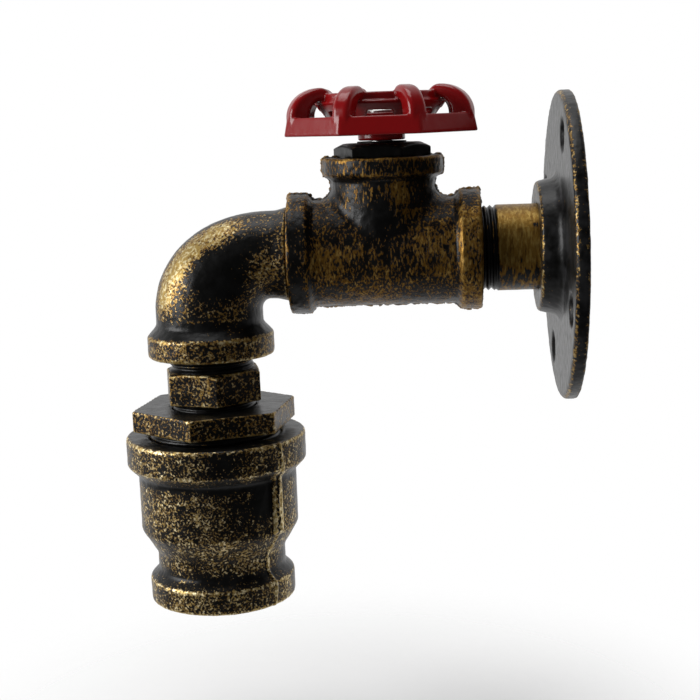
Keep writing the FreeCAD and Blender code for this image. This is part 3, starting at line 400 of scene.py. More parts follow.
@dataclass(frozen=True)
class BareMetal:
    """Plated or plain metal with fine turning marks."""

    colour: Colour
    dull: Colour
    roughness: float = 0.32

    def make(self, name: str) -> bpy.types.Material:
        """Builds the material.

        Args:
            name: the material's name.

        Returns:
            The material.
        """
        board = Paintwork(name)
        cloud = board.noise(2.2, 3.0, 0.6)
        scratch = board.noise(0.35, 2.0, 0.6, 5.0)
        return board.surface(
            base_color=board.mix(cloud.step(0.35, 0.7), self.colour, self.dull),
            metallic=1.0,
            roughness=self.roughness + (scratch - 0.5) * 0.25,
            normal=board.bump(scratch, 0.015, 0.5))


@dataclass(frozen=True)
class Glaze:
    """White porcelain under a clear glaze."""

    colour: Colour = (0.78, 0.76, 0.70)
    speck: Colour = (0.60, 0.56, 0.48)

    def make(self, name: str) -> bpy.types.Material:
        """Builds the material.

        Args:
            name: the material's name.

        Returns:
            The material.
        """
        board = Paintwork(name)
        cloud = board.noise(4.0, 3.0, 0.5)
        speck = board.noise(0.5, 2.0, 0.5, 9.0)
        return board.surface(
            base_color=board.mix((speck * 0.7 + cloud * 0.3).step(0.56, 0.68), self.colour, self.speck),
            roughness=0.14 + (cloud - 0.5) * 0.08,
            normal=board.bump(cloud, 0.05, 0.4),
            coat_weight=0.6, coat_roughness=0.05)


@dataclass(frozen=True)
class Insulation:
    """Plastic skin of a lead."""

    colour: Colour
    stripe: Optional[Colour] = None

    def make(self, name: str) -> bpy.types.Material:
        """Builds the material.

        Args:
            name: the material's name.

        Returns:
            The material.
        """
        board = Paintwork(name)
        grain = board.noise(0.6, 2.0, 0.5)
        shade = tuple(channel * 0.75 for channel in self.colour)
        skin = board.mix(board.noise(5.0, 2.0).step(0.4, 0.7), self.colour, shade)
        if self.stripe:
            skin = board.mix(board.noise(1.6, 0.0, 0.5, 3.0).step(0.49, 0.52), skin, self.stripe)
        return board.surface(
            base_color=skin, roughness=0.45 + (grain - 0.5) * 0.15, normal=board.bump(grain, 0.02, 0.5))


Recipe = Union[RubbedGold, GlossPaint, BareMetal, Glaze, Insulation]

RECIPES: Dict[Finish, Recipe] = {
    Finish.RUBBED_GOLD: RubbedGold(),
    Finish.STREAKED_GOLD: RubbedGold(
        umber=(0.11, 0.050, 0.007), gold=(0.22, 0.118, 0.021), straw=(0.38, 0.240, 0.068),
        fleck=0.62, squeeze=(1.0, 1.0, 0.38), relief=0.12),
    Finish.SPECKLED_GOLD: RubbedGold(
        umber=(0.115, 0.062, 0.013), gold=(0.43, 0.306, 0.112), straw=(0.92, 0.80, 0.50),
        fleck=0.7, fleck_pull=3.3, drift_pull=0.9),
    Finish.SCRAPED_GOLD: RubbedGold(
        umber=(0.12, 0.058, 0.009), gold=(0.20, 0.110, 0.019), straw=(0.31, 0.200, 0.052),
        fleck=1.5, squeeze=(1.6, 0.6, 0.32)),
    Finish.BLACK_IRON: RubbedGold(slate=(0.018, 0.018, 0.019), edge_pull=0.7, relief=0.05),
    Finish.BLACK_GLOSS: RubbedGold(edge_pull=0.5, relief=0.03),
    # red paint; its darker copy is painted shade for the hollows, its lighter copy a painted edge highlight
    # broken up like wear
    Finish.RED_GLOSS: GlossPaint((0.200, 0.003, 0.004), (0.130, 0.002, 0.002), (0.34, 0.03, 0.03)),
    Finish.DARK_STEEL: BareMetal((0.020, 0.019, 0.018), (0.010, 0.010, 0.010), 0.55),
    Finish.ZINC: BareMetal((0.62, 0.62, 0.60), (0.45, 0.45, 0.44)),
    Finish.BRASS: BareMetal((0.72, 0.52, 0.22), (0.52, 0.36, 0.14)),
    Finish.SHELL_METAL: BareMetal((0.80, 0.79, 0.77), (0.60, 0.59, 0.57), 0.22),
    Finish.PORCELAIN: Glaze(),
    Finish.BROWN_LEAD: Insulation((0.12, 0.045, 0.020)),
    Finish.BLUE_LEAD: Insulation((0.02, 0.07, 0.35)),
    Finish.EARTH_LEAD: Insulation((0.05, 0.28, 0.05), (0.65, 0.55, 0.03)),
}


class PaintShop:
    """Mixes each finish once and hands it out."""

    def __init__(self) -> None:
        """Mixes every finish."""
        self.mixed = {finish: recipe.make(finish.value) for finish, recipe in RECIPES.items()}

    def material(self, finish: Finish) -> bpy.types.Material:
        """The material of a finish."""
        return self.mixed[finish]

    def dress(self, nodes: Dict[str, Finish]) -> None:
        """Gives CAD nodes that stay as they are their finish.

        Args:
            nodes: the finish of each node.
        """
        for node, finish in nodes.items():
            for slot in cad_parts[node].material_slots:
                slot.material = self.material(finish)
            LOG.info("%s: %s", node, finish.value)


# ---- bench work --------------------------------------------------------------

def clear_bench() -> None:
    """Leaves object mode and deselects everything."""
    if bpy.context.object and bpy.context.object.mode != "OBJECT":
        bpy.ops.object.mode_set(mode="OBJECT")
    bpy.ops.object.select_all(action="DESELECT")


def take(piece: bpy.types.Object) -> None:
    """Makes one piece the only selected and active object.

    Args:
        piece: the piece.
    """
    clear_bench()
    piece.select_set(True)
    bpy.context.view_layer.objects.active = piece


def apply_modifier(piece: bpy.types.Object, kind: str, **settings: object) -> None:
    """Adds a modifier to a piece and applies it.

    Args:
        piece: the piece.
        kind: the modifier's type.
        settings: the modifier's properties.
    """
    take(piece)
    modifier = piece.modifiers.new(kind.lower(), kind)
    for name, value in settings.items():
        setattr(modifier, name, value)
    bpy.ops.object.modifier_apply(modifier=modifier.name)


def copy_of_node(node: str, name: str) -> bpy.types.Object:
    """Copies a CAD node's mesh and merges its loose triangles.

    Args:
        node: the CAD node.
        name: the new piece's name.

    Returns:
        The new piece.
    """
    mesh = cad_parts[node].data.copy()
    mesh.materials.clear()
    piece = bpy.data.objects.new(name, mesh)
    bpy.context.scene.collection.objects.link(piece)
    take(piece)
    bpy.ops.object.mode_set(mode="EDIT")
    bpy.ops.mesh.select_all(action="SELECT")
    bpy.ops.mesh.remove_doubles(threshold=1e-6)
    bpy.ops.object.mode_set(mode="OBJECT")
    return piece


def smooth_all(piece: bpy.types.Object, angle: float = 180.0) -> None:
    """Shades a piece smooth across edges below an angle in degrees."""
    take(piece)
    bpy.ops.object.shade_smooth_by_angle(angle=math.radians(angle))


def voxel_skin(piece: bpy.types.Object, voxel: float, softening: int) -> None:
    """Rebuilds a piece with even faces and softened edges, like a casting.

    Args:
        piece: a closed piece.
        voxel: size of the faces.
        softening: rounds of smoothing.
    """
    apply_modifier(piece, "REMESH", mode="VOXEL", voxel_size=voxel * MM, adaptivity=0.0)
    apply_modifier(piece, "SMOOTH", factor=0.5, iterations=softening)


def roughen(piece: bpy.types.Object, size: float, depth: float) -> None:
    """Moves the surface in and out by a cloudy pattern.

    Args:
        piece: the piece.
        size: width of the lumps.
        depth: height from hollow to lump.
    """
    clouds = bpy.data.textures.new("lumps", "CLOUDS")
    clouds.noise_scale = size * MM
    clouds.noise_depth = 2
    apply_modifier(piece, "DISPLACE", texture=clouds, texture_coords="LOCAL", strength=depth * MM,
                   mid_level=0.5)


def set_numbers(piece: bpy.types.Object, name: str, values: Sequence[float]) -> None:
    """Stores a number at each vertex of a piece.

    Args:
        piece: the piece.
        name: the attribute's name.
        values: one number for each vertex.
    """
    layer = piece.data.attributes.new(name, "FLOAT", "POINT")
    layer.data.foreach_set("value", values)


def clamp(value: float, low: float = 0.0, high: float = 1.0) -> float:
    """Keeps a value between two limits."""
    return max(low, min(high, value))


def near(distance: float, reach: float) -> float:
    """Falls evenly from 1 at no distance to 0 at the reach."""
    return clamp(1 - abs(distance) / reach)


def bell(distance: float, reach: float) -> float:
    """Falls smoothly from 1 at no distance to 0 at the reach."""
    return (1 + math.cos(math.pi * distance / reach)) / 2


def mark_relief(piece: bpy.types.Object, rounds: int, reach: float, floor: float) -> None:
    """Stores where a piece stands proud of a smoothed copy, and where it is sunk.

    Args:
        piece: the piece.
        rounds: rounds of smoothing of the copy.
        reach: relief that counts in full.
        floor: relief that still counts as flat.
    """
    twin = piece.copy()
    twin.data = piece.data.copy()
    bpy.context.scene.collection.objects.link(twin)
    apply_modifier(twin, "SMOOTH", factor=0.5, iterations=rounds)
    relief = [(here.co - there.co).dot(here.normal) / MM
              for here, there in zip(piece.data.vertices, twin.data.vertices)]
    bpy.data.objects.remove(twin)
    span = reach - floor
    set_numbers(piece, "proud", [clamp((height - floor) / span) for height in relief])
    set_numbers(piece, "sunk", [clamp((-height - floor) / span) for height in relief])


@dataclass(frozen=True)
class Spot:
    """A place where more or less gold was rubbed on."""

    at: Point
    radius: float
    amount: float
    tall: float = 1.0

    def weight(self, place: Vector) -> float:
        """How much gold the spot gives.

        Args:
            place: a place on the piece.

        Returns:
            The amount, which fades to nothing at the spot's radius.
        """
        across = place - Vector(self.at)
        across.z /= self.tall
        share = across.length_squared / self.radius ** 2
        return self.amount * (1 - share) ** 2 if share < 1 else 0.0


def gold_at(spots: Sequence[Spot], place: Vector) -> float:
    """What all the spots together give at a place."""
    return sum(spot.weight(place) for spot in spots)


@dataclass(frozen=True)
class Thread:
    """A helical V thread cut into a round zone of a piece."""

    low: float
    high: float
    radius: float = PIPE_RADIUS
    pitch: float = PIPE_PITCH
    depth: float = PIPE_THREAD_DEPTH
    centre: Tuple[float, float] = (DROP_X, 0.0)
    along_x: bool = False
    slack: float = 0.7
    run_out: float = 0.4

    def cut(self, piece: bpy.types.Object) -> None:
        """Moves the zone's vertices inwards along the helix.

        Args:
            piece: the piece.
        """
        for vertex in piece.data.vertices:
            place = vertex.co / MM
            if self.along_x:
                height, first, second = place.x, place.y, place.z
            else:
                height, first, second = place.z, place.x - self.centre[0], place.y - self.centre[1]
            if not self.low < height < self.high or abs(math.hypot(first, second) - self.radius) > self.slack:
                continue
            turns = math.atan2(second, first) / (2 * math.pi)
            phase = (height / self.pitch - turns) % 1.0
            groove = 1 - abs(2 * phase - 1)
            fade = clamp(min(height - self.low, self.high - height) / (self.run_out * self.pitch))
            scale = (self.radius - self.depth * groove * fade) / self.radius
            first, second = first * scale, second * scale
            if self.along_x:
                vertex.co = Vector((place.x, first, second)) * MM
            else:
                vertex.co = Vector((first + self.centre[0], second + self.centre[1], place.z)) * MM


def finish_piece(piece: bpy.types.Object, body: Body, slot: str, material: bpy.types.Material,
                 stands_for: Sequence[str]) -> None:
    """Dresses a finished piece and hangs it on its body.

    Args:
        piece: the piece.
        body: the body that it rides on.
        slot: the name of a material slot; not used.
        material: the finish.
        stands_for: CAD nodes that the piece replaces.
    """
    piece.data.materials.clear()
    piece.data.materials.append(material)
    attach(piece, body.value)
    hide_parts(*stands_for)
    LOG.info("%s: %d faces on %s", piece.name, len(piece.data.polygons), body.value)


@dataclass(frozen=True)
class Casting:
    """The rough skin of a fitting, rebuilt from its CAD node."""

    node: str
    slot: str
    finish: Finish
    voxel: float
    lumps: float
    softening: int = 2
    body: Body = Body.FIXTURE
    coarse_lump: float = 3.0
    fine_lump: float = 0.9
    fine_share: float = 0.35
    relief_rounds: int = 40
    relief_reach: float = 0.45
    relief_floor: float = 0.08

    def build(self, shop: PaintShop, rub: RubMap, threads: Sequence[Thread] = (),
              shape: Optional[Callable[[bpy.types.Object], None]] = None) -> None:
        """Builds and dresses the skin.

        Args:
            shop: where the finish comes from.
            rub: how much gold was rubbed on, from a vertex's place and normal.
            threads: the threads that are cut into it.
            shape: what else is done to its shape, before the threads.
        """
        skin = copy_of_node(self.node, self.node + "_skin")
        voxel_skin(skin, self.voxel, self.softening)
        if shape:
            shape(skin)
        for thread in threads:
            thread.cut(skin)
        roughen(skin, self.coarse_lump, self.lumps)
        roughen(skin, self.fine_lump, self.lumps * self.fine_share)
        mark_relief(skin, self.relief_rounds, self.relief_reach, self.relief_floor)
        set_numbers(skin, "rub", [rub(vertex.co / MM, vertex.normal) for vertex in skin.data.vertices])
        smooth_all(skin)
        finish_piece(skin, self.body, self.slot, shop.material(self.finish), [self.node])


# ---- sub-assemblies ----------------------------------------------------------

@dataclass(frozen=True)
class WallFlange:
    """The round plate on the wall, with its hub.

    Here and below, gold is how much was rubbed on, and gains and losses change that in places.
    """

    casting: Casting = Casting("wall_flange", "antique_iron", Finish.BLACK_IRON, voxel=0.5, lumps=0.22)
    plate_edge: float = 46.7
    plate_front: float = -3.2
    hub_front: float = -10.0
    hub_bore: float = 14.5
    gold: float = -0.16
    edge_gain: float = 0.35

    def rub(self, place: Vector, normal: Vector) -> float:
        """A thin line of gold on the edge of the plate and on the rim of the hub.

        Args:
            place: a place on the flange.
            normal: the surface's direction there.

        Returns:
            The amount of gold.
        """
        radius = math.hypot(place.y, place.z)
        on_plate_edge = radius > self.plate_edge and place.x < self.plate_front
        on_hub_rim = place.x < self.hub_front and radius > self.hub_bore
        return self.gold + (self.edge_gain if on_plate_edge or on_hub_rim else 0.0)

    def build(self, shop: PaintShop) -> None:
        """Builds and dresses the flange."""
        self.casting.build(shop, self.rub)


@dataclass(frozen=True)
class WallPipe:
    """The short threaded pipe between the flange and the tee."""

    casting: Casting = Casting("wall_nipple", "antique_steel", Finish.SCRAPED_GOLD, voxel=0.34, lumps=0.10)
    thread: Thread = Thread(-28.6, -23.0, along_x=True)
    gold: float = 1.15
    thread_start: float = -22.2
    thread_fade: float = 2.0
    thread_loss: float = 1.6
    scraped_below: float = -2.0
    scraped_fade: float = 6.0
    scraped_loss: float = 0.6

    def rub(self, place: Vector, normal: Vector) -> float:
        """Gold all over, scraped off underneath and gone from the thread.

        Args:
            place: a place on the pipe.
            normal: the surface's direction there.

        Returns:
            The amount of gold.
        """
        threaded = clamp((self.thread_start - place.x) / self.thread_fade)
        scraped = clamp((self.scraped_below - place.z) / self.scraped_fade)
        return self.gold - self.thread_loss * threaded - self.scraped_loss * scraped

    def build(self, shop: PaintShop) -> None:
        """Builds and dresses the pipe."""
        self.casting.build(shop, self.rub, [self.thread])


@dataclass(frozen=True)
class Tee:
    """The cast tee between the wall pipe and the elbow."""

    casting: Casting = Casting("tee", "antique_iron", Finish.STREAKED_GOLD, voxel=0.45, lumps=0.32)
    gold: float = 0.36
    neck_foot: float = 14.0
    neck_loss: float = 0.5
    branch_band: float = 17.2
    branch_band_loss: float = 0.05
    run_band: float = 17.4
    wall_band_gain: float = 0.30
    elbow_band_loss: float = 0.35
    seam_half_width: float = 2.4
    seam_inner: float = 14.5
    seam_height: float = 0.35
    seam_waves: Tuple[Tuple[float, float], ...] = ((0.9, 0.75), (0.5, 1.9))
    patches: Tuple[Spot, ...] = (
        Spot((-75.8, -14.0, -1.4), 11.0, 0.50), Spot((-41.0, -14.0, -0.4), 12.0, 0.50),
        Spot((-57.8, -15.0, 11.3), 10.0, -0.75), Spot((-59.4, -12.0, -10.7), 11.0, 0.2),
        Spot((-53.0, -14.0, 18.0), 6.0, 0.75, 1.6))

    def rub(self, place: Vector, normal: Vector) -> float:
        """Less gold in the throats beside the neck, more on the band towards the wall.

        Args:
            place: a place on the tee.
            normal: the surface's direction there.

        Returns:
            The amount of gold.
        """
        amount = self.gold + gold_at(self.patches, place)
        if place.z > self.neck_foot:
            on_band = math.hypot(place.x - TEE_X, place.y) > self.branch_band
            return amount - (self.branch_band_loss if on_band else self.neck_loss * clamp(1 + normal.y))
        if math.hypot(place.y, place.z) > self.run_band:
            return amount + (self.wall_band_gain if place.x > TEE_X else -self.elbow_band_loss)
        return amount

    def seam(self, skin: bpy.types.Object) -> None:
        """Leaves the moulds' lumpy parting line, in the plane of the tee's run and branch.

        Args:
            skin: the tee's skin.
        """
        for vertex in skin.data.vertices:
            place = vertex.co / MM
            from_run = math.hypot(place.y, place.z)
            from_branch = math.hypot(place.y, place.x - TEE_X)
            outside = max(from_run, from_branch) > self.seam_inner
            if outside and abs(place.y) < self.seam_half_width:
                waves = sum(height * noise.noise(place * rate) for height, rate in self.seam_waves)
                lump = max(self.seam_height + waves, 0.0) * bell(place.y, self.seam_half_width)
                vertex.co += vertex.normal * (lump * MM)

    def build(self, shop: PaintShop) -> None:
        """Builds and dresses the tee."""
        self.casting.build(shop, self.rub, shape=self.seam)


@dataclass(frozen=True)
class Elbow:
    """The street elbow that turns the arm downwards, with a band at its foot."""

    casting: Casting = Casting("street_elbow", "antique_iron", Finish.RUBBED_GOLD, voxel=0.45, lumps=0.22)
    gold: float = 0.26
    band_top: float = -22.5
    band_face: float = 19.3
    band_gain: float = 0.22
    groove_top: float = -19.0
    groove_loss: float = 0.45
    inner_bend_loss: float = 0.35
    # painted shade along the outline seen from the front: its reach in y, and the gold it takes away
    side_reach: float = 5.0
    painted_side_shade: float = 0.6
    patches: Tuple[Spot, ...] = (
        Spot((-107.3, -9.0, 10.1), 9.0, 0.75), Spot((-114.3, -9.0, 5.1), 9.0, 0.8),
        Spot((-119.9, -9.0, -0.6), 9.0, 0.85), Spot((-123.7, -9.0, -7.6), 9.0, 0.85),
        Spot((-125.3, -9.0, -13.2), 7.0, 0.8), Spot((-94.2, -13.0, -3.4), 8.0, 0.50),
        Spot((-104.8, -15.0, -17.6), 9.0, 0.50), Spot((-98.3, -13.0, -12.5), 8.0, 0.45),
        Spot((-109.3, -15.0, -4.2), 11.0, -0.8), Spot((-101.7, -12.0, 2.9), 7.0, -0.4))

    def rub(self, place: Vector, normal: Vector) -> float:
        """Gold on the back of the bend and on the band, with a dark groove, a dark inner bend, and painted
        shade along the outline seen from the front.

        Args:
            place: a place on the elbow.
            normal: the surface's direction there.

        Returns:
            The amount of gold.
        """
        amount = self.gold + gold_at(self.patches, place)
        if place.z < self.band_top and math.hypot(place.x - DROP_X, place.y) > self.band_face:
            return amount + self.band_gain
        if place.z < self.groove_top:
            return amount - self.groove_loss
        amount -= self.inner_bend_loss * clamp(normal.x)
        # painted shade: less gold along the outline seen from the front, where y is near zero
        return amount - self.painted_side_shade * near(place.y, self.side_reach)

    def build(self, shop: PaintShop) -> None:
        """Builds and dresses the elbow."""
        self.casting.build(shop, self.rub)


@dataclass(frozen=True)
class HexNipple:
    """The double-ended nipple with a hexagon, under the elbow."""

    casting: Casting = Casting("hex_nipple", "antique_steel", Finish.RUBBED_GOLD, voxel=0.34, lumps=0.12,
                               softening=1)
    threads: Tuple[Thread, ...] = (Thread(-35.9, -30.6), Thread(-47.4, -45.3))
    gold: float = 0.38
    thread_loss: float = 0.9
    hexagon_foot: float = -45.6
    hexagon_top: float = -35.3

    def rub(self, place: Vector, normal: Vector) -> float:
        """Gold on the hexagon, none on the threads."""
        return self.gold - (0.0 if self.hexagon_foot < place.z < self.hexagon_top else self.thread_loss)

    def build(self, shop: PaintShop) -> None:
        """Builds and dresses the nipple."""
        self.casting.build(shop, self.rub, self.threads)


@dataclass(frozen=True)
class HexBushing:
    """The wide hexagon bushing between the nipple and the reducer."""

    casting: Casting = Casting("hex_bushing", "antique_iron", Finish.RUBBED_GOLD, voxel=0.4, lumps=0.14,
                               softening=1)
    thread: Thread = Thread(-58.0, -54.1, radius=21.0, pitch=2.209, depth=1.1)
    gold: float = 0.36
    thread_loss: float = 1.0
    top_loss: float = 0.5
    hexagon_foot: float = -53.95

    def rub(self, place: Vector, normal: Vector) -> float:
        """Gold on the sides, less on top, none on the thread."""
        loss = self.thread_loss if place.z < self.hexagon_foot else 0.0
        return self.gold - loss - self.top_loss * clamp(normal.z)

    def build(self, shop: PaintShop) -> None:
        """Builds and dresses the bushing."""
        self.casting.build(shop, self.rub, [self.thread])


@dataclass(frozen=True)
class Reducer:
    """The bell reducer that serves as the shade, with a grip rib on either side."""

    casting: Casting = Casting("reducer", "antique_iron", Finish.SPECKLED_GOLD, voxel=0.49, lumps=0.22)
    gold: float = 0.42
    bore: float = 19.0
    mouth_rim: float = 22.0
    inside_loss: float = 0.7
    # painted shade along the left and right outline seen from the front: its reach in y, and the gold it
    # takes away
    side_reach: float = 7.0
    painted_side_shade: float = 0.3
    top_loss: float = 0.5
    grooves: Tuple[Tuple[float, float], ...] = ((-69.0, 0.55), (-99.5, 0.45))
    groove_reach: float = 2.6
    rib_meridian: float = -37.5
    rib_face: float = 25.5
    rib_top: float = -66.0
    rib_half_width: float = 2.7
    rib_gain: float = 0.75
    line_half_width: float = 0.3
    line_loss: float = 0.8
    seam_half_width: float = 0.9
    seam_height: float = 0.45
    seam_sway: float = 0.6
    seam_sway_rate: float = 0.35
    seam_gold_reach: float = 0.8
    seam_gain: float = 0.35
    patches: Tuple[Spot, ...] = (
        Spot((-127.8, -20.0, -73.1), 11.0, 0.18), Spot((-95.0, -21.5, -73.2), 7.0, -1.0, 2.0),
        Spot((-113.2, -20.0, -92.7), 12.0, 0.12), Spot((-104.0, -24.0, -78.0), 13.0, -0.3),
        Spot((-108.0, -28.0, -60.0), 11.0, -0.3))

    def beside_rib(self, across: Vector) -> float:
        """Distance along the surface from the middle of the nearer rib.

        Args:
            across: a place, seen from the reducer's axis.

        Returns:
            The distance, with its sign.
        """
        turn = math.atan2(across.y, across.x) - math.radians(self.rib_meridian)
        return ((turn + math.pi / 2) % math.pi - math.pi / 2) * across.length

    def line_at(self, height: float) -> float:
        """How far the dark line on a rib wanders from the rib's middle at a height."""
        return 0.35 * math.sin(height * 1.3) + 0.2 * math.sin(height * 3.1) - 0.5

    def rub(self, place: Vector, normal: Vector) -> float:
        """More gold on the ribs and seams, less in the grooves, none inside, and less at the sides as painted
        shade along the outline seen from the front.

        Args:
            place: a place on the reducer.
            normal: the surface's direction there.

        Returns:
            The amount of gold.
        """
        amount = self.gold + gold_at(self.patches, place)
        across = Vector((place.x - DROP_X, place.y))
        if across.length < self.bore or normal.z < -0.8 and across.length < self.mouth_rim:
            return amount - self.inside_loss
        # painted shade: less gold along the left and right outline seen from the front, where y is near zero
        amount -= self.painted_side_shade * near(place.y, self.side_reach) + self.top_loss * clamp(2 * normal.z - 1)
        amount -= sum(loss * near(place.z - height, self.groove_reach) for height, loss in self.grooves)
        beside = self.beside_rib(across)
        if across.length > self.rib_face and place.z < self.rib_top and abs(beside) < self.rib_half_width:
            on_line = abs(beside - self.line_at(place.z)) < self.line_half_width
            return amount + (-self.line_loss if on_line else self.rib_gain)
        return amount + (self.seam_gain if abs(beside) < self.seam_gold_reach else 0.0)

    def seam(self, skin: bpy.types.Object) -> None:
        """Raises the thin parting seam that runs above and below the ribs.

        Args:
            skin: the reducer's skin.
        """
        for vertex in skin.data.vertices:
            place = vertex.co / MM
            across = Vector((place.x - DROP_X, place.y))
            sway = self.seam_sway * math.sin(place.z * self.seam_sway_rate)
            distance = abs(self.beside_rib(across) - sway)
            if across.length >= self.bore and distance < self.seam_half_width:
                rise = across.normalized() * (self.seam_height * bell(distance, self.seam_half_width))
                vertex.co.x += rise.x * MM
                vertex.co.y += rise.y * MM

    def build(self, shop: PaintShop) -> None:
        """Builds and dresses the reducer."""
        self.casting.build(shop, self.rub, shape=self.seam)


@dataclass(frozen=True)
class Valve:
    """The plug in the tee's branch, and the handwheel that turns on its spindle."""

    plug: Casting = Casting("bonnet_plug", "black_iron", Finish.BLACK_GLOSS, voxel=0.34, lumps=0.08)
    wheel: Casting = Casting("handwheel", "wheel_red", Finish.RED_GLOSS, voxel=0.38, lumps=0.05,
                             body=Body.WHEEL)
    gold: float = -0.35
    top_gain: float = 0.5

    def rub(self, place: Vector, normal: Vector) -> float:
        """A little gold on top of the plug."""
        return self.gold + self.top_gain * clamp(2 * normal.z - 1)

    def build(self, shop: PaintShop) -> None:
        """Builds and dresses the plug and the wheel, and dresses what holds the wheel.

        Args:
            shop: where the finishes come from.
        """
        self.plug.build(shop, self.rub)
        self.wheel.build(shop, lambda place, normal: 0.0)
        shop.dress({
            "spindle": Finish.ZINC, "disc_spring": Finish.DARK_STEEL, "thrust_washer": Finish.DARK_STEEL,
            "handwheel_washer": Finish.ZINC, "handwheel_screw": Finish.ZINC})


@dataclass(frozen=True)
class Lampholder:
    """The porcelain, the threaded shell and the contact inside the reducer."""

    shell_radius: float = 13.7
    pitch: float = 3.63
    crest: float = 0.45
    low: float = -106.1
    high: float = -82.12
    plain_top: float = 2.38
    run_out: float = 1.5
    wall: float = 0.45
    round_steps: int = 96
    height_step: float = 0.4

    def wall_radius(self, height: float, angle: float) -> float:
        """Outer radius of the rolled thread.

        Args:
            height: a height in the CAD frame.
            angle: an angle about the shell's axis.

        Returns:
            The radius.
        """
        phase = 2 * math.pi * (height / self.pitch) - angle
        ends = clamp(min(height - self.low, self.high - self.plain_top - height) / self.run_out)
        return self.shell_radius - ends * self.crest * (1 - math.cos(phase)) / 2

    def turned_tube(self) -> bpy.types.Object:
        """Turns the tube that the thread is rolled into.

        Returns:
            An open tube, cut into even rings.
        """
        length = self.high - self.low
        clear_bench()
        bpy.ops.mesh.primitive_cylinder_add(
            vertices=self.round_steps, radius=self.shell_radius * MM, depth=length * MM,
            end_fill_type="NOTHING", location=(DROP_X * MM, 0, (self.low + length / 2) * MM))
        tube = bpy.context.object
        tube.name = "lampholder_shell_skin"
        bpy.ops.object.transform_apply(location=True, rotation=True, scale=True)
        bpy.ops.object.mode_set(mode="EDIT")
        for index in range(1, int(length / self.height_step)):
            height = self.low + index * self.height_step
            bpy.ops.mesh.select_all(action="SELECT")
            bpy.ops.mesh.bisect(plane_co=(0, 0, height * MM), plane_no=(0, 0, 1))
        bpy.ops.object.mode_set(mode="OBJECT")
        return tube

    def build(self, shop: PaintShop) -> None:
        """Rolls and dresses the shell, and dresses what holds it.

        Args:
            shop: where the finishes come from.
        """
        shell = self.turned_tube()
        for vertex in shell.data.vertices:
            across = Vector((vertex.co.x / MM - DROP_X, vertex.co.y / MM))
            across = across.normalized() * self.wall_radius(vertex.co.z / MM, math.atan2(across.y, across.x))
            vertex.co.x, vertex.co.y = (across.x + DROP_X) * MM, across.y * MM
        apply_modifier(shell, "SOLIDIFY", thickness=self.wall * MM, offset=-1.0)
        take(shell)
        bpy.ops.object.mode_set(mode="EDIT")
        bpy.ops.mesh.select_all(action="SELECT")
        bpy.ops.mesh.normals_make_consistent(inside=False)
        bpy.ops.object.mode_set(mode="OBJECT")
        smooth_all(shell, 40)
        finish_piece(shell, Body.FIXTURE, "shell_metal", shop.material(Finish.SHELL_METAL),
                     ["lampholder_shell"])
        shop.dress({
            "clamp_ring": Finish.ZINC, "lampholder_body": Finish.PORCELAIN, "centre_contact": Finish.BRASS,
            "terminal_block_live": Finish.BRASS, "terminal_block_neutral": Finish.BRASS,
            "terminal_screws": Finish.ZINC})


class Wiring:
    """The inner leads and the earth connection."""

    def build(self, shop: PaintShop) -> None:
        """Dresses the leads, the earth tag and its screw.

        Args:
            shop: where the finishes come from.
        """
        shop.dress({
            "lead_live": Finish.BROWN_LEAD, "lead_neutral": Finish.BLUE_LEAD, "lead_earth": Finish.EARTH_LEAD,
            "earth_tag": Finish.BRASS, "earth_screw": Finish.ZINC})


# ---- surroundings ------------------------------------------------------------

@dataclass(frozen=True)
class Lamp:
    """A soft square lamp, placed in metres."""

    name: str
    at: Point
    size: float
    power: float
    mirrored: bool = True
    aim: Point = (-0.07, 0.0, -0.03)

    def build(self) -> None:
        """Adds the lamp, facing its aim."""
        data = bpy.data.lights.new(self.name, "AREA")
        data.shape = "SQUARE"
        data.size = self.size
        data.energy = self.power
        lamp = bpy.data.objects.new(self.name, data)
        bpy.context.scene.collection.objects.link(lamp)
        lamp.location = self.at
        lamp.visible_glossy = self.mirrored
        lamp.rotation_euler = (Vector(self.aim) - Vector(self.at)).to_track_quat("-Z", "Y").to_euler()


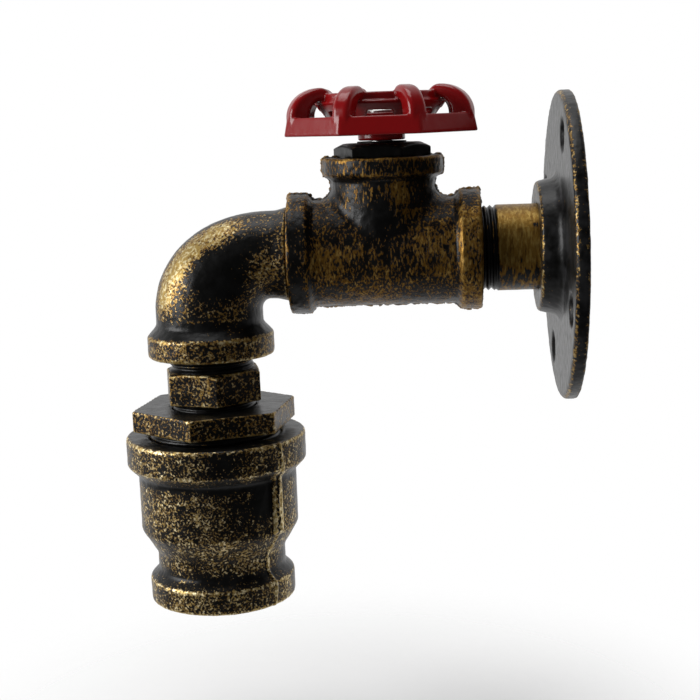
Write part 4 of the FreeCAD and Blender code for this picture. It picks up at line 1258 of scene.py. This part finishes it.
@dataclass(frozen=True)
class Studio:
    """The camera, the lamps, the pale surroundings and the floor."""

    focal_pixels: float = 1369.84
    picture_pixels: float = 700.0
    sensor: float = 36.0
    camera_at: Point = (-49.923, -426.975, 41.896)
    yaw: float = -0.04656
    pitch: float = 0.16903
    roll: float = -0.03568
    front_glow: float = 0.05
    back_glow: float = 1.0
    glow_from: float = -0.2
    glow_to: float = 0.6
    ambient: float = 0.17
    floor_at: Point = (-80.0, 0.0, -165.0)
    floor_radius: float = 1600.0
    floor_fade_from: float = 40.0
    floor_fade_to: float = 165.0
    floor_pale: Colour = (0.93, 0.93, 0.93)
    floor_white: Colour = (0.96, 0.96, 0.96)
    floor_grey: Colour = (0.3, 0.3, 0.3)
    lamps: Tuple[Lamp, ...] = (
        Lamp("key", (-1.15, -0.36, 0.24), 0.70, 15.5),
        Lamp("top", (-0.25, 0.05, 1.10), 0.70, 6.0),
        Lamp("right", (1.00, -0.25, 0.10), 1.00, 4.6, mirrored=False),
    )

    def build(self) -> None:
        """Sets up everything around the object."""
        self.build_camera()
        for lamp in self.lamps:
            lamp.build()
        self.build_world()
        self.build_floor()
        bpy.context.scene.view_settings.view_transform = "Standard"

    def build_camera(self) -> None:
        """Adds the camera at the photograph's viewpoint."""
        data = bpy.data.cameras.new("camera")
        data.sensor_width = self.sensor
        data.lens = self.focal_pixels * self.sensor / self.picture_pixels
        data.clip_start = 0.01
        camera = bpy.data.objects.new("camera", data)
        bpy.context.scene.collection.objects.link(camera)
        reach = math.cos(self.pitch)
        forward = Vector((math.sin(self.yaw) * reach, math.cos(self.yaw) * reach, -math.sin(self.pitch)))
        level = Vector((math.cos(self.yaw), -math.sin(self.yaw), 0))
        above = level.cross(forward)
        right = math.cos(self.roll) * level + math.sin(self.roll) * above
        up = -math.sin(self.roll) * level + math.cos(self.roll) * above
        camera.matrix_world = Matrix((
            (right.x, up.x, -forward.x, self.camera_at[0] * MM),
            (right.y, up.y, -forward.y, self.camera_at[1] * MM),
            (right.z, up.z, -forward.z, self.camera_at[2] * MM),
            (0, 0, 0, 1)))
        bpy.context.scene.camera = camera

    def build_world(self) -> None:
        """White to the camera, and a room that is bright behind and dim in front for the rest."""
        world = bpy.data.worlds.new("studio")
        bpy.context.scene.world = world
        world.use_nodes = True
        board = Board(world.node_tree)
        parts = board.node("ShaderNodeSeparateXYZ", {}, {0: board.tap("ShaderNodeTexCoord", "Generated")})
        behind = Signal(board, parts.outputs["Y"]).step(self.glow_from, self.glow_to)
        room = behind * (self.back_glow - self.front_glow) + self.front_glow
        unseen = board.blend(board.tap("ShaderNodeLightPath", "Is Glossy Ray"), self.ambient, room)
        glow = board.blend(board.tap("ShaderNodeLightPath", "Is Camera Ray"), unseen, 1.0)
        background = board.node("ShaderNodeBackground", {}, {"Color": (1, 1, 1, 1), "Strength": glow})
        board.node("ShaderNodeOutputWorld", {}, {"Surface": Signal(board, background.outputs["Background"])})

    def build_floor(self) -> None:
        """Adds a round pale floor that fades into the white surroundings and is clear from below."""
        clear_bench()
        bpy.ops.mesh.primitive_circle_add(
            vertices=96, radius=self.floor_radius * MM, fill_type="NGON",
            location=[value * MM for value in self.floor_at])
        floor = bpy.context.object
        floor.name = "floor"
        board = Paintwork("pale_floor")
        length = board.node("ShaderNodeVectorMath", {"operation": "LENGTH"}, {0: board.place})
        faded = Signal(board, length.outputs["Value"]).step(self.floor_fade_from, self.floor_fade_to)
        faded = faded.at_least(board.tap("ShaderNodeNewGeometry", "Backfacing"))
        mixed = board.node("ShaderNodeMixShader", {}, {
            0: faded, 1: Signal(board, board.shader.outputs["BSDF"]),
            2: board.tap("ShaderNodeBsdfTransparent", "BSDF")})
        board.feed(board.output.inputs["Surface"], Signal(board, mixed.outputs[0]))
        rays = board.node("ShaderNodeLightPath")
        seen = Signal(board, rays.outputs["Is Camera Ray"]) + Signal(board, rays.outputs["Is Glossy Ray"])
        pale = board.mix(board.noise(40.0), self.floor_pale, self.floor_white)
        floor.data.materials.append(board.surface(
            base_color=board.mix(seen, self.floor_grey, pale), roughness=0.9))


def main() -> None:
    """Builds the lamp and its surroundings."""
    logging.basicConfig(level=logging.INFO, format="%(message)s")
    shop = PaintShop()
    for assembly in (WallFlange(), WallPipe(), Tee(), Elbow(), HexNipple(), HexBushing(), Reducer(), Valve(),
                     Lampholder(), Wiring()):
        assembly.build(shop)
    Studio().build()


if __name__ == "__main__":
    main()
